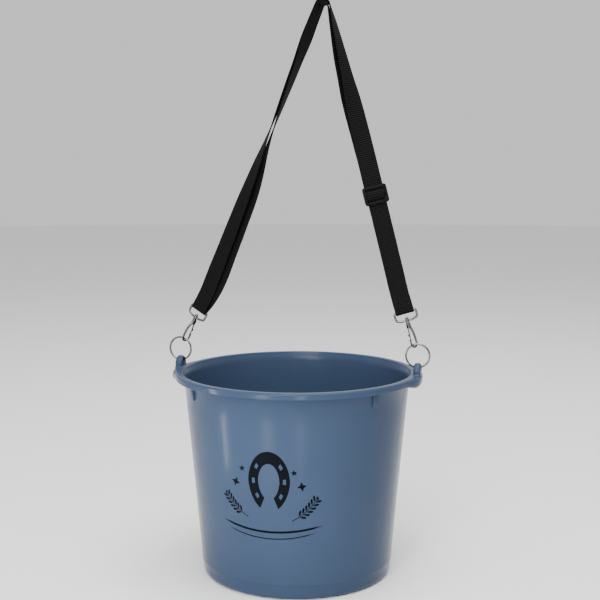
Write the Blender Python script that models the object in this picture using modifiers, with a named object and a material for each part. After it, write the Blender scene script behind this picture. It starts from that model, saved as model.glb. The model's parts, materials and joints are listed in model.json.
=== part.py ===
"""Feed bucket with a webbing carry strap on two swivel snap hooks.

+X runs towards the right-hand lug, -Y is the front and +Z is up. The origin is on the
floor, under the centre of the bucket. Dimensions are in millimetres times MM.
"""
import math

import bmesh
import bpy
from mathutils import Matrix, Vector

MM = 0.001

# ---- driving dimensions -------------------------------------------------------------
# bucket
RIM_TOP = 278 * MM
RIM_RADIUS = 165 * MM
RIM_SKIRT = 8.5 * MM
MOUTH_RADIUS = 155 * MM
SHOULDER_RADIUS = 153 * MM
BASE_RADIUS = 128.5 * MM
BASE_CORNER = 9 * MM
WALL = 2.5 * MM
FOOT_HEIGHT = 4 * MM
STEP_HEIGHT = 21 * MM
RIM_EDGE_RADIUS = 3.5 * MM
RIM_PLATE = 3.2 * MM
SKIRT_THICK = 2.6 * MM
STEP_DEPTH = 0.7 * MM
FOOT_WIDTH = 5 * MM
INSIDE_CORNER = 7 * MM
BLOCK_ANGLE = math.radians(37)
BLOCK_DEPTH = 8 * MM
BLOCK_WIDTH = 9 * MM
BLOCK_HEIGHT = 20 * MM
BLOCK_TAPER = 2 * MM
BUCKET_STEPS = 64

# lugs on the rim
LUG_X = 164.8 * MM
LUG_THICK = 10 * MM
LUG_WIDTH = 25 * MM
LUG_TOP = 293.5 * MM
LUG_HOLE_RADIUS = 3.75 * MM
LUG_ROUNDING = 2.2 * MM
BOSS_REACH = 171.5 * MM
BOSS_RADIUS = 60 * MM
BOSS_BOTTOM = 263 * MM
BOSS_ROUNDING = 3.5 * MM
HINGE_Z = 287.4 * MM

# split rings
RING_RADIUS = 15.75 * MM
RING_WIDTH = 2.1 * MM
RING_THICK = 1.04 * MM
RING_PITCH = 1.25 * MM
RING_JOGGLE_UP = math.radians(100)
RING_TURN = {"left": math.radians(-9), "right": 0.0}

# swivel snap hooks, measured down from the centre of the eye's lower bar
EYE_WIDTH = 29.4 * MM
EYE_HEIGHT = 11.5 * MM
EYE_WIRE = 1.3 * MM
EYE_BOW = 1.5 * MM
EYE_LOW_CORNER = 4.2 * MM
EYE_TOP_CORNER = 1.6 * MM
COLLAR_RADIUS = 3.0 * MM
COLLAR_HEIGHT = 3.6 * MM
HOOK_REACH = 50.3 * MM
HOOK_LEAN = {"left": math.radians(26.8), "right": math.radians(-17.1)}
EYE_TURN = {"left": math.radians(-24), "right": 0.0}
HOOK_TURN = {"left": math.radians(235), "right": math.radians(55)}
HOOK_WIRE = 1.2 * MM
LOOP_RADIUS = 5.3 * MM
LOOP_CENTRE = 32.5 * MM
STEM_RADIUS = 1.3 * MM
RUNNING_GAP = 0.3 * MM
PIN_X = -1.2 * MM
PIN_Z = -8.6 * MM
PIN_RADIUS = 0.6 * MM
CHEEK_WIDTH = 4.8 * MM
SLOT_WIDTH = 2.4 * MM
GATE_TIP_Z = -28.4 * MM
GATE_WIRE = 0.9 * MM
KNUCKLE_RADIUS = 1.6 * MM
KNUCKLE_WIDTH = 0.9 * MM
NUB_SIZE = Vector((2.6, 1.7, 2.6)) * MM
NUB_CENTRE = Vector((-5.3, 0, -20.4)) * MM
SPRING_RADIUS = 0.92 * MM
SPRING_WIRE = 0.1 * MM
SPRING_START = -1.05 * MM
SPRING_PITCH = 0.21 * MM
SPRING_TURNS = 2.25
SPRING_LEG = 1.4 * MM

# strap
WEB_WIDTH = 25 * MM
WEB_THICK = 1.5 * MM
LAYER_OFFSET = 0.95 * MM
APEX = Vector((38.3, 0, 784.9)) * MM
APEX_RADIUS = 7 * MM
STRAIGHT_FROM_EYE = 22 * MM
BAR_OFFSET = 2.35 * MM
SPREAD_LENGTH = 30 * MM
TURN_BACK = 21 * MM
STATION_STEP = 14 * MM
# how the webbing's width turns from the Y axis, at distances from the top of the strap
TWIST = (
    (-447, 66), (-387, 64), (-339, 57), (-292, 52), (-244, 38), (-188, 14), (-131, -1),
    (-83, -9), (-59, -20), (-36, -18), (-12, -13), (8, -10), (25, 2), (50, 12), (80, 21),
    (108, 30), (136, 49), (165, 60), (205, 75), (355, 75), (400, 90),
)
# how far the inner layer is pushed sideways and stands off, at distances from the top
FAN = (
    (-447, 0, 0), (-425, 7, 0.6), (-400, 9, 2.5), (-260, 8, 5), (-215, 4, 3), (-160, 0, 1.6),
    (-90, 0, 1), (-40, 0, 0), (30, 1, 1), (80, 2, 3.5), (140, 2, 3), (200, 0.5, 0.8),
    (232, 0, 0),
)

# slider
SLIDER_Z = 517 * MM
SLIDER_WIDTH = 32 * MM
SLIDER_LENGTH = 25 * MM
SLIDER_FRONT = 3.4 * MM
SLIDER_BACK = 4.8 * MM
SIDE_BAR = 2.8 * MM
CROSS_BAR = 4.0 * MM
CENTRE_BAR_DEPTH = 3.8 * MM
CENTRE_BAR_THICK = 1.8 * MM
LOOP_THICK = 1.2 * MM
LOOP_RADIUS_AT_BAR = 1.9 * MM
LAYER_END_GAP = 27 * MM
TAIL_LENGTH = 38 * MM
TAIL_FACE = 6.2 * MM
THREAD = 0.35 * MM
THREAD_LIFT = 0.3 * MM
STITCH_WIDTH = 19 * MM
RIGHT_STITCH_ROWS = (8 * MM, 17 * MM)
SLIDER_STITCH_ROWS = (18 * MM, 33 * MM)

COLLECTION = "feed_bucket"
CUTTERS = "cutters"


# ---- helpers ------------------------------------------------------------------------
def clear_scene():
    for obj in list(bpy.data.objects):
        bpy.data.objects.remove(obj, do_unlink=True)
    for name in (COLLECTION, CUTTERS):
        group = bpy.data.collections.new(name)
        bpy.context.scene.collection.children.link(group)


def material(name, color, roughness, metallic=0.0):
    mat = bpy.data.materials.get(name)
    if mat is None:
        mat = bpy.data.materials.new(name)
        mat.use_nodes = True
        shader = mat.node_tree.nodes["Principled BSDF"]
        shader.inputs["Base Color"].default_value = (*color, 1)
        shader.inputs["Roughness"].default_value = roughness
        shader.inputs["Metallic"].default_value = metallic
    return mat


def blue_plastic():
    return material("blue_plastic", (0.09, 0.16, 0.28), 0.4)


def nickel():
    return material("nickel", (0.72, 0.71, 0.69), 0.2, 1.0)


def black_webbing():
    return material("black_webbing", (0.012, 0.012, 0.013), 0.8)


def black_plastic():
    return material("black_plastic", (0.015, 0.015, 0.016), 0.4)


def black_thread():
    return material("black_thread", (0.02, 0.02, 0.022), 0.7)


def place(obj, collection=COLLECTION):
    bpy.data.collections[collection].objects.link(obj)
    return obj


def as_cutter(obj):
    """Keeps a shape that only cuts, joins or guides another out of the model."""
    for group in list(obj.users_collection):
        group.objects.unlink(obj)
    place(obj, CUTTERS)
    obj.hide_render = True
    obj.display_type = "WIRE"
    return obj


def from_bmesh(name, bm, mat):
    mesh = bpy.data.meshes.new(name)
    bmesh.ops.recalc_face_normals(bm, faces=bm.faces)
    bm.to_mesh(mesh)
    bm.free()
    mesh.shade_smooth()
    mesh.set_sharp_from_angle(angle=math.radians(35))
    obj = bpy.data.objects.new(name, mesh)
    mesh.materials.append(mat)
    return place(obj)


def turned(name, profile, mat, steps=24):
    """A profile of (radius, height) at +X, turned once round Z with a Screw modifier."""
    mesh = bpy.data.meshes.new(name)
    bm = bmesh.new()
    verts = [bm.verts.new((radius, 0, height)) for radius, height in profile]
    for low, high in zip(verts, verts[1:]):
        bm.edges.new((low, high))
    if profile[0][0] > 0 or profile[-1][0] > 0:
        bm.edges.new((verts[-1], verts[0]))
    bm.to_mesh(mesh)
    bm.free()
    mesh.materials.append(mat)
    obj = place(bpy.data.objects.new(name, mesh))
    screw = obj.modifiers.new("turn", "SCREW")
    screw.steps = steps
    screw.render_steps = steps
    screw.use_merge_vertices = True
    screw.merge_threshold = 0.01 * MM
    screw.use_smooth_shade = True
    return obj


def box(name, size, centre, mat, bevel=0.0):
    bm = bmesh.new()
    bmesh.ops.create_cube(bm, size=1)
    bmesh.ops.scale(bm, vec=size, verts=bm.verts)
    bmesh.ops.translate(bm, vec=centre, verts=bm.verts)
    obj = from_bmesh(name, bm, mat)
    if bevel:
        edge = obj.modifiers.new("round", "BEVEL")
        edge.width = bevel
        edge.segments = 2
    return obj


def cylinder(name, radius, length, centre, axis, mat, segments=20):
    bm = bmesh.new()
    bmesh.ops.create_cone(
        bm, cap_ends=True, segments=segments, radius1=radius, radius2=radius, depth=length
    )
    turn = Vector((0, 0, 1)).rotation_difference(Vector(axis)).to_matrix().to_4x4()
    bmesh.ops.transform(bm, matrix=Matrix.Translation(centre) @ turn, verts=bm.verts)
    return from_bmesh(name, bm, mat)


def tube(name, points, radius, mat, sizes=None, cyclic=False, sides=2, section=None):
    """A wire along points, made into a mesh with welded caps so that it can be cut."""
    curve = bpy.data.curves.new(name + "_line", "CURVE")
    curve.dimensions = "3D"
    curve.bevel_depth = radius
    curve.bevel_resolution = sides
    curve.use_fill_caps = True
    curve.render_resolution_u = 0
    if section is not None:
        curve.bevel_mode = "OBJECT"
        curve.bevel_object = section
    spline = curve.splines.new("POLY")
    spline.points.add(len(points) - 1)
    for i, (spot, point) in enumerate(zip(spline.points, points)):
        spot.co = (*point, 1)
        spot.radius = sizes[i] if sizes else 1
    spline.use_cyclic_u = cyclic
    guide = place(bpy.data.objects.new(name + "_line", curve))
    graph = bpy.context.evaluated_depsgraph_get()
    mesh = bpy.data.meshes.new_from_object(guide.evaluated_get(graph))
    obj = bpy.data.objects.new(name, mesh)
    obj.matrix_world = guide.matrix_world
    bpy.data.objects.remove(guide, do_unlink=True)
    bm = bmesh.new()
    bm.from_mesh(mesh)
    bmesh.ops.remove_doubles(bm, verts=bm.verts, dist=0.001 * MM)
    bmesh.ops.recalc_face_normals(bm, faces=bm.faces)
    bm.to_mesh(mesh)
    bm.free()
    mesh.materials.clear()
    mesh.materials.append(mat)
    mesh.shade_smooth()
    mesh.set_sharp_from_angle(angle=math.radians(40))
    return place(obj)


def combine(obj, tools, operation):
    for tool in tools:
        as_cutter(tool)
        step = obj.modifiers.new(operation.lower() + "_" + tool.name, "BOOLEAN")
        step.operation = operation
        step.object = tool
    return obj


def arc(centre, radius, start, end, steps):
    """Points of an arc in a plane, from start to end in degrees."""
    turns = [math.radians(start + (end - start) * i / steps) for i in range(steps + 1)]
    return [(centre[0] + radius * math.cos(a), centre[1] + radius * math.sin(a)) for a in turns]


def smooth(x):
    x = min(max(x, 0), 1)
    return x * x * (3 - 2 * x)


# ---- bucket -------------------------------------------------------------------------
def outer_profile():
    """The tub's outside as a solid, from the axis at the top, down and under the foot."""
    slope = (SHOULDER_RADIUS - BASE_RADIUS) / (RIM_TOP - RIM_SKIRT)
    edge = RIM_RADIUS - RIM_EDGE_RADIUS
    rim = [(0, RIM_TOP), (edge, RIM_TOP)]
    rim += arc((edge, RIM_TOP - RIM_EDGE_RADIUS), RIM_EDGE_RADIUS, 60, 0, 2)
    skirt = RIM_TOP - RIM_SKIRT
    rim += [
        (RIM_RADIUS, skirt),
        (RIM_RADIUS - SKIRT_THICK, skirt),
        (RIM_RADIUS - SKIRT_THICK, RIM_TOP - RIM_PLATE),
        (SHOULDER_RADIUS + 4.5 * MM, RIM_TOP - RIM_PLATE),
        (SHOULDER_RADIUS, skirt - 1.5 * MM),
    ]
    at_step = BASE_RADIUS + slope * STEP_HEIGHT
    wall = [(at_step + STEP_DEPTH, STEP_HEIGHT + STEP_DEPTH), (at_step, STEP_HEIGHT)]
    inset = BASE_RADIUS - BASE_CORNER
    corner = arc((inset, BASE_CORNER), BASE_CORNER, 0, -90, 4)
    foot = [
        (inset - FOOT_WIDTH, 0),
        (inset - FOOT_WIDTH - 1 * MM, FOOT_HEIGHT),
        (0, FOOT_HEIGHT),
    ]
    return rim + wall + corner + foot


def cavity_profile():
    """The hollow, from the axis above the mouth, down the lip and wall to the floor."""
    floor = FOOT_HEIGHT + WALL
    low = BASE_RADIUS - WALL
    lip = [
        (0, RIM_TOP + 20 * MM),
        (MOUTH_RADIUS, RIM_TOP + 20 * MM),
        (MOUTH_RADIUS, RIM_TOP - 2.5 * MM),
        (MOUTH_RADIUS - 1.2 * MM, RIM_TOP - 6.5 * MM),
        (SHOULDER_RADIUS - WALL, RIM_TOP - 8 * MM),
    ]
    corner = arc((low - INSIDE_CORNER, floor + INSIDE_CORNER), INSIDE_CORNER, 0, -90, 3)
    return lip + corner + [(0, floor)]


def lug(side, sign):
    """A plate across the rim with an arched top."""
    radius = LUG_WIDTH / 2
    outline = [(-radius, RIM_TOP - 10 * MM), (radius, RIM_TOP - 10 * MM)]
    outline += arc((0, LUG_TOP - radius), radius, 0, 180, 12)
    bm = bmesh.new()
    near = LUG_X - LUG_THICK / 2
    verts = [bm.verts.new((sign * near, y, z)) for y, z in outline]
    face = bm.faces.new(verts)
    made = bmesh.ops.extrude_face_region(bm, geom=[face])["geom"]
    moved = [v for v in made if isinstance(v, bmesh.types.BMVert)]
    bmesh.ops.translate(bm, vec=(sign * LUG_THICK, 0, 0), verts=moved)
    plate = from_bmesh(side + "_lug", bm, blue_plastic())
    edge = plate.modifiers.new("round", "BEVEL")
    edge.width = LUG_ROUNDING
    edge.segments = 2
    return plate


def boss(side, sign):
    """The bulge of the rim that carries a lug."""
    height = RIM_TOP - 1 * MM - BOSS_BOTTOM
    centre = (sign * (BOSS_REACH - BOSS_RADIUS), 0, BOSS_BOTTOM + height / 2)
    bulge = cylinder(side + "_boss", BOSS_RADIUS, height, centre, (0, 0, 1), blue_plastic(), 72)
    edge = bulge.modifiers.new("round", "BEVEL")
    edge.width = BOSS_ROUNDING
    edge.segments = 2
    return bulge


def stacking_block(index, angle):
    """A tapered block under the rim that keeps stacked buckets apart."""
    high = RIM_TOP - RIM_SKIRT + 1 * MM
    low = high - BLOCK_HEIGHT
    block = box(
        "stacking_block_%d" % index,
        (BLOCK_DEPTH, BLOCK_WIDTH, BLOCK_HEIGHT),
        (SHOULDER_RADIUS - 1.2 * MM, 0, (high + low) / 2),
        blue_plastic(),
    )
    for vert in block.data.vertices:
        if vert.co.z < (high + low) / 2:
            vert.co.x -= BLOCK_TAPER
    block.rotation_euler = (0, 0, angle)
    return block


def make_bucket():
    tub = turned("bucket", outer_profile(), blue_plastic(), BUCKET_STEPS)
    added = []
    holes = []
    for side, sign in (("left", -1), ("right", 1)):
        added += [lug(side, sign), boss(side, sign)]
        centre = (sign * LUG_X, 0, HINGE_Z)
        holes.append(
            cylinder(side + "_hole", LUG_HOLE_RADIUS, 30 * MM, centre, (1, 0, 0), blue_plastic())
        )
    for index in range(4):
        mirror = BLOCK_ANGLE if index % 2 else -BLOCK_ANGLE
        added.append(stacking_block(index, mirror + math.pi * (index // 2)))
    combine(tub, added, "UNION")
    cavity = turned("cavity", cavity_profile(), blue_plastic(), BUCKET_STEPS)
    combine(tub, [cavity] + holes, "DIFFERENCE")
    return tub


# ---- split rings --------------------------------------------------------------------
def ring_points():
    """Two flat turns side by side, with a joggle where the first passes to the second."""
    joggle = math.radians(35)
    full = 2 * math.pi
    end = 2 * full - joggle - math.radians(5)
    count = 56
    points = []
    for i in range(count + 1):
        a = end * i / count
        step = smooth((a - (full - joggle)) / joggle) - 0.5
        across = step * RING_PITCH
        points.append((RING_RADIUS * math.cos(a), across, RING_RADIUS * math.sin(a)))
    return points


def wire_section():
    """The oval section of the ring's flat wire."""
    curve = bpy.data.curves.new("ring_section", "CURVE")
    curve.dimensions = "2D"
    curve.render_resolution_u = 0
    spline = curve.splines.new("POLY")
    sides = 8
    spline.points.add(sides - 1)
    for i, spot in enumerate(spline.points):
        a = 2 * math.pi * i / sides
        spot.co = (RING_WIDTH / 2 * math.cos(a), RING_THICK / 2 * math.sin(a), 0, 1)
    spline.use_cyclic_u = True
    return as_cutter(place(bpy.data.objects.new("ring_section", curve)))


def make_ring(side, sign, section):
    ring = tube(side + "_ring", ring_points(), RING_WIDTH / 2, nickel(), section=section)
    ring.data.transform(Matrix.Rotation(RING_JOGGLE_UP, 4, "Y"))
    ring.data.transform(Matrix.Rotation(RING_TURN[side], 4, "Z"))
    ring.data.transform(Matrix.Translation((0, 0, RING_RADIUS)))
    ring.location = (sign * LUG_X, 0, HINGE_Z)
    return ring


# ---- swivel snap hooks --------------------------------------------------------------
def eye_centre(side, sign):
    """Centre of the eye's lower bar: up from the ring's centre along the hook's lean."""
    lean = HOOK_LEAN[side]
    up = Vector((math.sin(lean), 0, math.cos(lean)))
    return Vector((sign * LUG_X, 0, HINGE_Z + RING_RADIUS)) + up * HOOK_REACH


def eye_points():
    half = EYE_WIDTH / 2
    corner = EYE_LOW_CORNER
    low = [(-half + corner, 0.2 * MM), (-half * 0.45, -EYE_BOW * 0.6)]
    low += [(0, -EYE_BOW * 0.6), (half * 0.45, -EYE_BOW * 0.6), (half - corner, 0.2 * MM)]
    right = arc((half - corner, corner + 0.2 * MM), corner, -60, 0, 2)
    top_corner = (half - EYE_TOP_CORNER, EYE_HEIGHT - EYE_TOP_CORNER)
    top = arc(top_corner, EYE_TOP_CORNER, 0, 90, 3)
    left = [(-x, z) for x, z in reversed(right + top)]
    return [(x, 0, z) for x, z in low + right + top + left]


def make_eye(side, frame):
    """A wire eye with a boss, bored for the hook's stem, in its lower bar."""
    eye = tube(side + "_hook_eye", eye_points(), EYE_WIRE, nickel(), cyclic=True)
    collar = cylinder(
        side + "_eye_boss", COLLAR_RADIUS, COLLAR_HEIGHT, (0, 0, -0.9 * MM), (0, 0, 1), nickel()
    )
    bore = cylinder(
        side + "_eye_bore", STEM_RADIUS + RUNNING_GAP, 12 * MM, (0, 0, 0), (0, 0, 1), nickel()
    )
    combine(eye, [collar], "UNION")
    combine(eye, [bore], "DIFFERENCE")
    for piece in (eye, collar, bore):
        piece.parent = frame
    return eye


def hook_line():
    """The hook's wire from the neck down the fixed leg, round the bend, up to the nose."""
    leg = [(0.2, -6.0), (1.6, -9.5), (3.4, -14), (4.7, -19), (5.3, -25)]
    points = [(x * MM, z * MM) for x, z in leg]
    points += arc((0, -LOOP_CENTRE), LOOP_RADIUS, 0, -180, 12)
    points += [(-LOOP_RADIUS - 0.2 * MM, -29.5 * MM), (-LOOP_RADIUS - 0.5 * MM, -27 * MM)]
    return [(x, 0, z) for x, z in points]


def make_hook_body(side, frame):
    """Stem, neck and hook in one casting, slotted for the gate."""
    stem = [
        (0, 3.9 * MM),
        (1.7 * MM, 3.6 * MM),
        (2.4 * MM, 2.6 * MM),
        (2.4 * MM, 1.3 * MM),
        (STEM_RADIUS, 1.3 * MM),
        (STEM_RADIUS, -3.1 * MM),
        (2.7 * MM, -3.1 * MM),
        (2.7 * MM, -4.6 * MM),
        (2.2 * MM, -7.0 * MM),
        (0, -7.6 * MM),
    ]
    body = turned(side + "_hook_body", stem, nickel(), 16)
    line = hook_line()
    sizes = [1.25] * 4 + [1.0] * (len(line) - 6) + [0.85, 0.6]
    wire = tube(side + "_hook_wire", line, HOOK_WIRE, nickel(), sizes=sizes)
    cheeks = box(
        side + "_cheeks",
        (5.4 * MM, CHEEK_WIDTH, 7.0 * MM),
        (-0.5 * MM, 0, -8.4 * MM),
        nickel(),
        0.9 * MM,
    )
    slot = box(
        side + "_slot",
        (5.0 * MM, SLOT_WIDTH, 9.0 * MM),
        (PIN_X - 0.6 * MM, 0, PIN_Z - 2.0 * MM),
        nickel(),
    )
    centre = (PIN_X, 0, PIN_Z)
    hole = cylinder(side + "_pin_hole", PIN_RADIUS + 0.05 * MM, 9 * MM, centre, (0, 1, 0), nickel(), 16)
    combine(body, [wire, cheeks], "UNION")
    combine(body, [slot, hole], "DIFFERENCE")
    for piece in (body, wire, cheeks, slot, hole):
        piece.parent = frame
    return body


def make_gate(side, frame):
    """The lever that closes the hook, with its knuckle round the pin and a thumb nub."""
    line = [(-1.5, -9.4), (-2.3, -11.4), (-3.1, -14), (-3.9, -18), (-4.2, -23)]
    points = [(x * MM, 0, z * MM) for x, z in line]
    points.append((-4.0 * MM, 0, GATE_TIP_Z))
    gate = tube(side + "_gate", points, GATE_WIRE, nickel(), sizes=[0.45, 1, 1.1, 1, 1, 0.8])
    centre = (PIN_X, 0, PIN_Z)
    knuckle = cylinder(
        side + "_knuckle", KNUCKLE_RADIUS, KNUCKLE_WIDTH, centre, (0, 1, 0), nickel(), 16
    )
    nub = box(side + "_nub", NUB_SIZE, NUB_CENTRE, nickel(), 0.5 * MM)
    hole = cylinder(side + "_gate_hole", PIN_RADIUS + 0.1 * MM, 6 * MM, centre, (0, 1, 0), nickel(), 16)
    combine(gate, [knuckle, nub], "UNION")
    combine(gate, [hole], "DIFFERENCE")
    for piece in (gate, knuckle, nub, hole):
        piece.parent = frame
    return gate


def make_pin(side, frame):
    pin = cylinder(
        side + "_gate_pin", PIN_RADIUS, CHEEK_WIDTH, (PIN_X, 0, PIN_Z), (0, 1, 0), nickel(), 16
    )
    pin.parent = frame
    return pin


def make_spring(side, frame):
    """The gate's coil spring, round the pin beside the knuckle, its leg in the slot's top."""
    count = 27
    points = []
    for i in range(count + 1):
        turns = SPRING_TURNS * i / count
        a = 2 * math.pi * turns
        across = SPRING_START + SPRING_PITCH * turns
        points.append((PIN_X + SPRING_RADIUS * math.cos(a), across, PIN_Z + SPRING_RADIUS * math.sin(a)))
    last = points[-1]
    points.append((last[0] - SPRING_LEG, last[1], last[2] + 0.3 * MM))
    spring = tube(side + "_gate_spring", points, SPRING_WIRE, nickel(), sides=1)
    spring.parent = frame
    return spring


def make_hook(side, sign):
    """Every piece of one snap hook, hung from an empty on its swivel axis."""
    eye_frame = place(bpy.data.objects.new(side + "_eye_frame", None))
    eye_frame.location = eye_centre(side, sign)
    eye_frame.rotation_mode = "ZYX"
    eye_frame.rotation_euler = (0, HOOK_LEAN[side], EYE_TURN[side])
    hook_frame = place(bpy.data.objects.new(side + "_swivel_axis", None))
    hook_frame.parent = eye_frame
    hook_frame.rotation_euler = (0, 0, HOOK_TURN[side] - EYE_TURN[side])
    make_eye(side, eye_frame)
    make_hook_body(side, hook_frame)
    make_gate(side, hook_frame)
    make_pin(side, hook_frame)
    make_spring(side, hook_frame)


# ---- strap --------------------------------------------------------------------------
def eye_bar(side, sign):
    """Centre of the eye's top bar, and the way up from it along the hook's lean."""
    lean = HOOK_LEAN[side]
    up = Vector((math.sin(lean), 0, math.cos(lean)))
    return eye_centre(side, sign) + up * EYE_HEIGHT, up


def strap_line():
    """The strap's middle line, from the right eye's bar over the top to the left eye's."""
    right, right_up = eye_bar("right", 1)
    left, left_up = eye_bar("left", -1)
    right_knee = right + right_up * STRAIGHT_FROM_EYE
    left_knee = left + left_up * STRAIGHT_FROM_EYE
    into = (APEX - right_knee).normalized()
    out = (left_knee - APEX).normalized()
    half = (math.pi - into.angle(out)) / 2
    reach = APEX_RADIUS / math.tan(half)
    from_angle = math.atan2(-into.x, into.z)
    to_angle = from_angle + into.angle(out)
    middle = APEX - into * reach + Vector((-into.z, 0, into.x)) * APEX_RADIUS
    points = spread(right, right_knee) + spread(right_knee, APEX - into * reach)[1:]
    steps = 12
    for i in range(1, steps):
        a = from_angle + (to_angle - from_angle) * i / steps
        points.append(middle + Vector((math.cos(a), 0, math.sin(a))) * APEX_RADIUS)
    return points + spread(APEX + out * reach, left_knee) + spread(left_knee, left)[1:]


def spread(start, end):
    count = max(2, round((end - start).length / STATION_STEP))
    return [start.lerp(end, i / count) for i in range(count + 1)]


def along_strap(table, distance):
    """A table's values at a signed distance from the top, in line between its rows."""
    mm = min(max(distance / MM, table[0][0]), table[-1][0])
    for low, high in zip(table, table[1:]):
        if mm <= high[0]:
            share = (mm - low[0]) / (high[0] - low[0])
            return [a + (b - a) * share for a, b in zip(low[1:], high[1:])]


def strap_frames():
    """At each station: middle point, way along, width direction, face normal, offset of
    the layers, length from the right eye, and the inner layer's own centre."""
    line = strap_line()
    lengths = [0]
    for a, b in zip(line, line[1:]):
        lengths.append(lengths[-1] + (b - a).length)
    top = max(range(len(line)), key=lambda i: line[i].z)
    frames = []
    for i, point in enumerate(line):
        along = (line[min(i + 1, len(line) - 1)] - line[max(i - 1, 0)]).normalized()
        outward = Vector((along.z, 0, -along.x))
        from_top = lengths[top] - lengths[i]
        turn = math.radians(along_strap(TWIST, from_top)[0])
        width = Vector((0, math.cos(turn), 0)) + outward * math.sin(turn)
        face = outward * math.cos(turn) - Vector((0, math.sin(turn), 0))
        end = min(lengths[i], lengths[-1] - lengths[i])
        offset = LAYER_OFFSET + (BAR_OFFSET - LAYER_OFFSET) * (1 - smooth(end / SPREAD_LENGTH))
        push, gap = [value * MM for value in along_strap(FAN, from_top)]
        inner = point - face * (offset + gap) - width * push
        frames.append((point, along, width, face, offset, lengths[i], inner))
    return frames


def turn_round_bar(frame, sense):
    """Stations of the webbing's half turn round an eye's top bar."""
    point, along, width, face, offset = frame[:5]
    stations = []
    steps = 6
    for i in range(1, steps):
        a = math.pi * i / steps
        normal = face * math.cos(a) + along * (sense * math.sin(a))
        stations.append((point + normal * offset, width, normal))
    return stations


def ribbon(name, stations, width, thick, mat):
    """A band swept through stations of centre, width direction and face normal."""
    bm = bmesh.new()
    rows = []
    for centre, across, normal in stations:
        corners = [(1, 1), (1, -1), (-1, -1), (-1, 1)]
        rows.append(
            [
                bm.verts.new(centre + across * (a * width / 2) + normal * (b * thick / 2))
                for a, b in corners
            ]
        )
    for row, following in zip(rows, rows[1:]):
        for i in range(4):
            j = (i + 1) % 4
            bm.faces.new((row[i], row[j], following[j], following[i]))
    bm.faces.new(rows[0])
    bm.faces.new(rows[-1])
    return from_bmesh(name, bm, mat)


def make_webbing(frames, slider_length):
    """One length of webbing: turned back at the right eye, over the top, round the left
    eye's bar and back over the top to just above the slider."""
    tail = [f for f in frames if f[5] <= TURN_BACK]
    stations = [(f[0] - f[3] * f[4], f[2], f[3]) for f in reversed(tail)]
    back = [(c, w, n) for c, w, n in reversed(turn_round_bar(frames[0], -1))]
    stations = [(c, w, -n) for c, w, n in stations] + back
    stations += [(f[0] + f[3] * f[4], f[2], f[3]) for f in frames]
    stations += turn_round_bar(frames[-1], 1)
    inner = [f for f in frames if f[5] > slider_length + LAYER_END_GAP]
    stations += [(f[6], f[2], -f[3]) for f in reversed(inner)]
    return ribbon("strap_webbing", stations, WEB_WIDTH, WEB_THICK, black_webbing())


def on_webbing(frames, length, across, lift):
    """A point above the outer layer, at a length along the strap and a place across it."""
    for low, high in zip(frames, frames[1:]):
        if length <= high[5]:
            share = (length - low[5]) / (high[5] - low[5])
            ends = [f[0] + f[3] * (f[4] + WEB_THICK / 2 + lift) + f[2] * across for f in (low, high)]
            return ends[0].lerp(ends[1], share)


def stitch_box(name, rows, spot):
    """A rectangle of thread between two heights; spot gives the place of (across, along)."""
    low, high = rows
    half = STITCH_WIDTH / 2
    points = [spot(-half, low), spot(half, low), spot(half, high), spot(-half, high)]
    line = []
    for start, end in zip(points, points[1:] + points[:1]):
        line += [start.lerp(end, i / 4) for i in range(4)]
    return tube(name, line, THREAD, black_thread(), cyclic=True, sides=1)


# ---- slider -------------------------------------------------------------------------
def slider_matrix(frames):
    """The slider's own frame: X across the webbing, Z up along it, -Y out of its face."""
    low, high = [
        (a, b) for a, b in zip(frames, frames[1:]) if a[0].z <= SLIDER_Z <= b[0].z and a[5] < b[5]
    ][0]
    share = (SLIDER_Z - low[0].z) / (high[0].z - low[0].z)
    centre = low[0].lerp(high[0], share) + low[3] * LAYER_OFFSET
    turn = Matrix((low[2], -low[3], low[1])).transposed().to_4x4()
    return Matrix.Translation(centre) @ turn, low[5] + (high[5] - low[5]) * share


def make_slider(frame):
    """A tri-glide: crossbars in front of the webbing, the centre bar behind it."""
    middle = (SLIDER_BACK - SLIDER_FRONT) / 2
    depth = SLIDER_FRONT + SLIDER_BACK
    side_x = (SLIDER_WIDTH - SIDE_BAR) / 2
    bars = []
    for name, sign in (("left", -1), ("right", 1)):
        centre = (sign * side_x, middle, 0)
        size = (SIDE_BAR, depth, SLIDER_LENGTH)
        bars.append(box("slider_side_" + name, size, centre, black_plastic(), 1.0 * MM))
    cross_depth = SLIDER_FRONT - 1.15 * MM
    for name, sign in (("low", -1), ("high", 1)):
        height = sign * (SLIDER_LENGTH - CROSS_BAR) / 2
        centre = (0, -SLIDER_FRONT + cross_depth / 2 + 0.1 * MM, height * 0.98)
        size = (SLIDER_WIDTH - SIDE_BAR, cross_depth, CROSS_BAR)
        bars.append(box("slider_cross_" + name, size, centre, black_plastic(), 0.6 * MM))
    size = (SLIDER_WIDTH - SIDE_BAR, CENTRE_BAR_THICK, CROSS_BAR)
    bars.append(box("slider_centre", size, (0, CENTRE_BAR_DEPTH, 0), black_plastic(), 0.5 * MM))
    slider = combine(bars[0], bars[1:], "UNION")
    slider.name = "slider_frame"
    for bar in bars:
        bar.matrix_world = frame
    return slider


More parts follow.
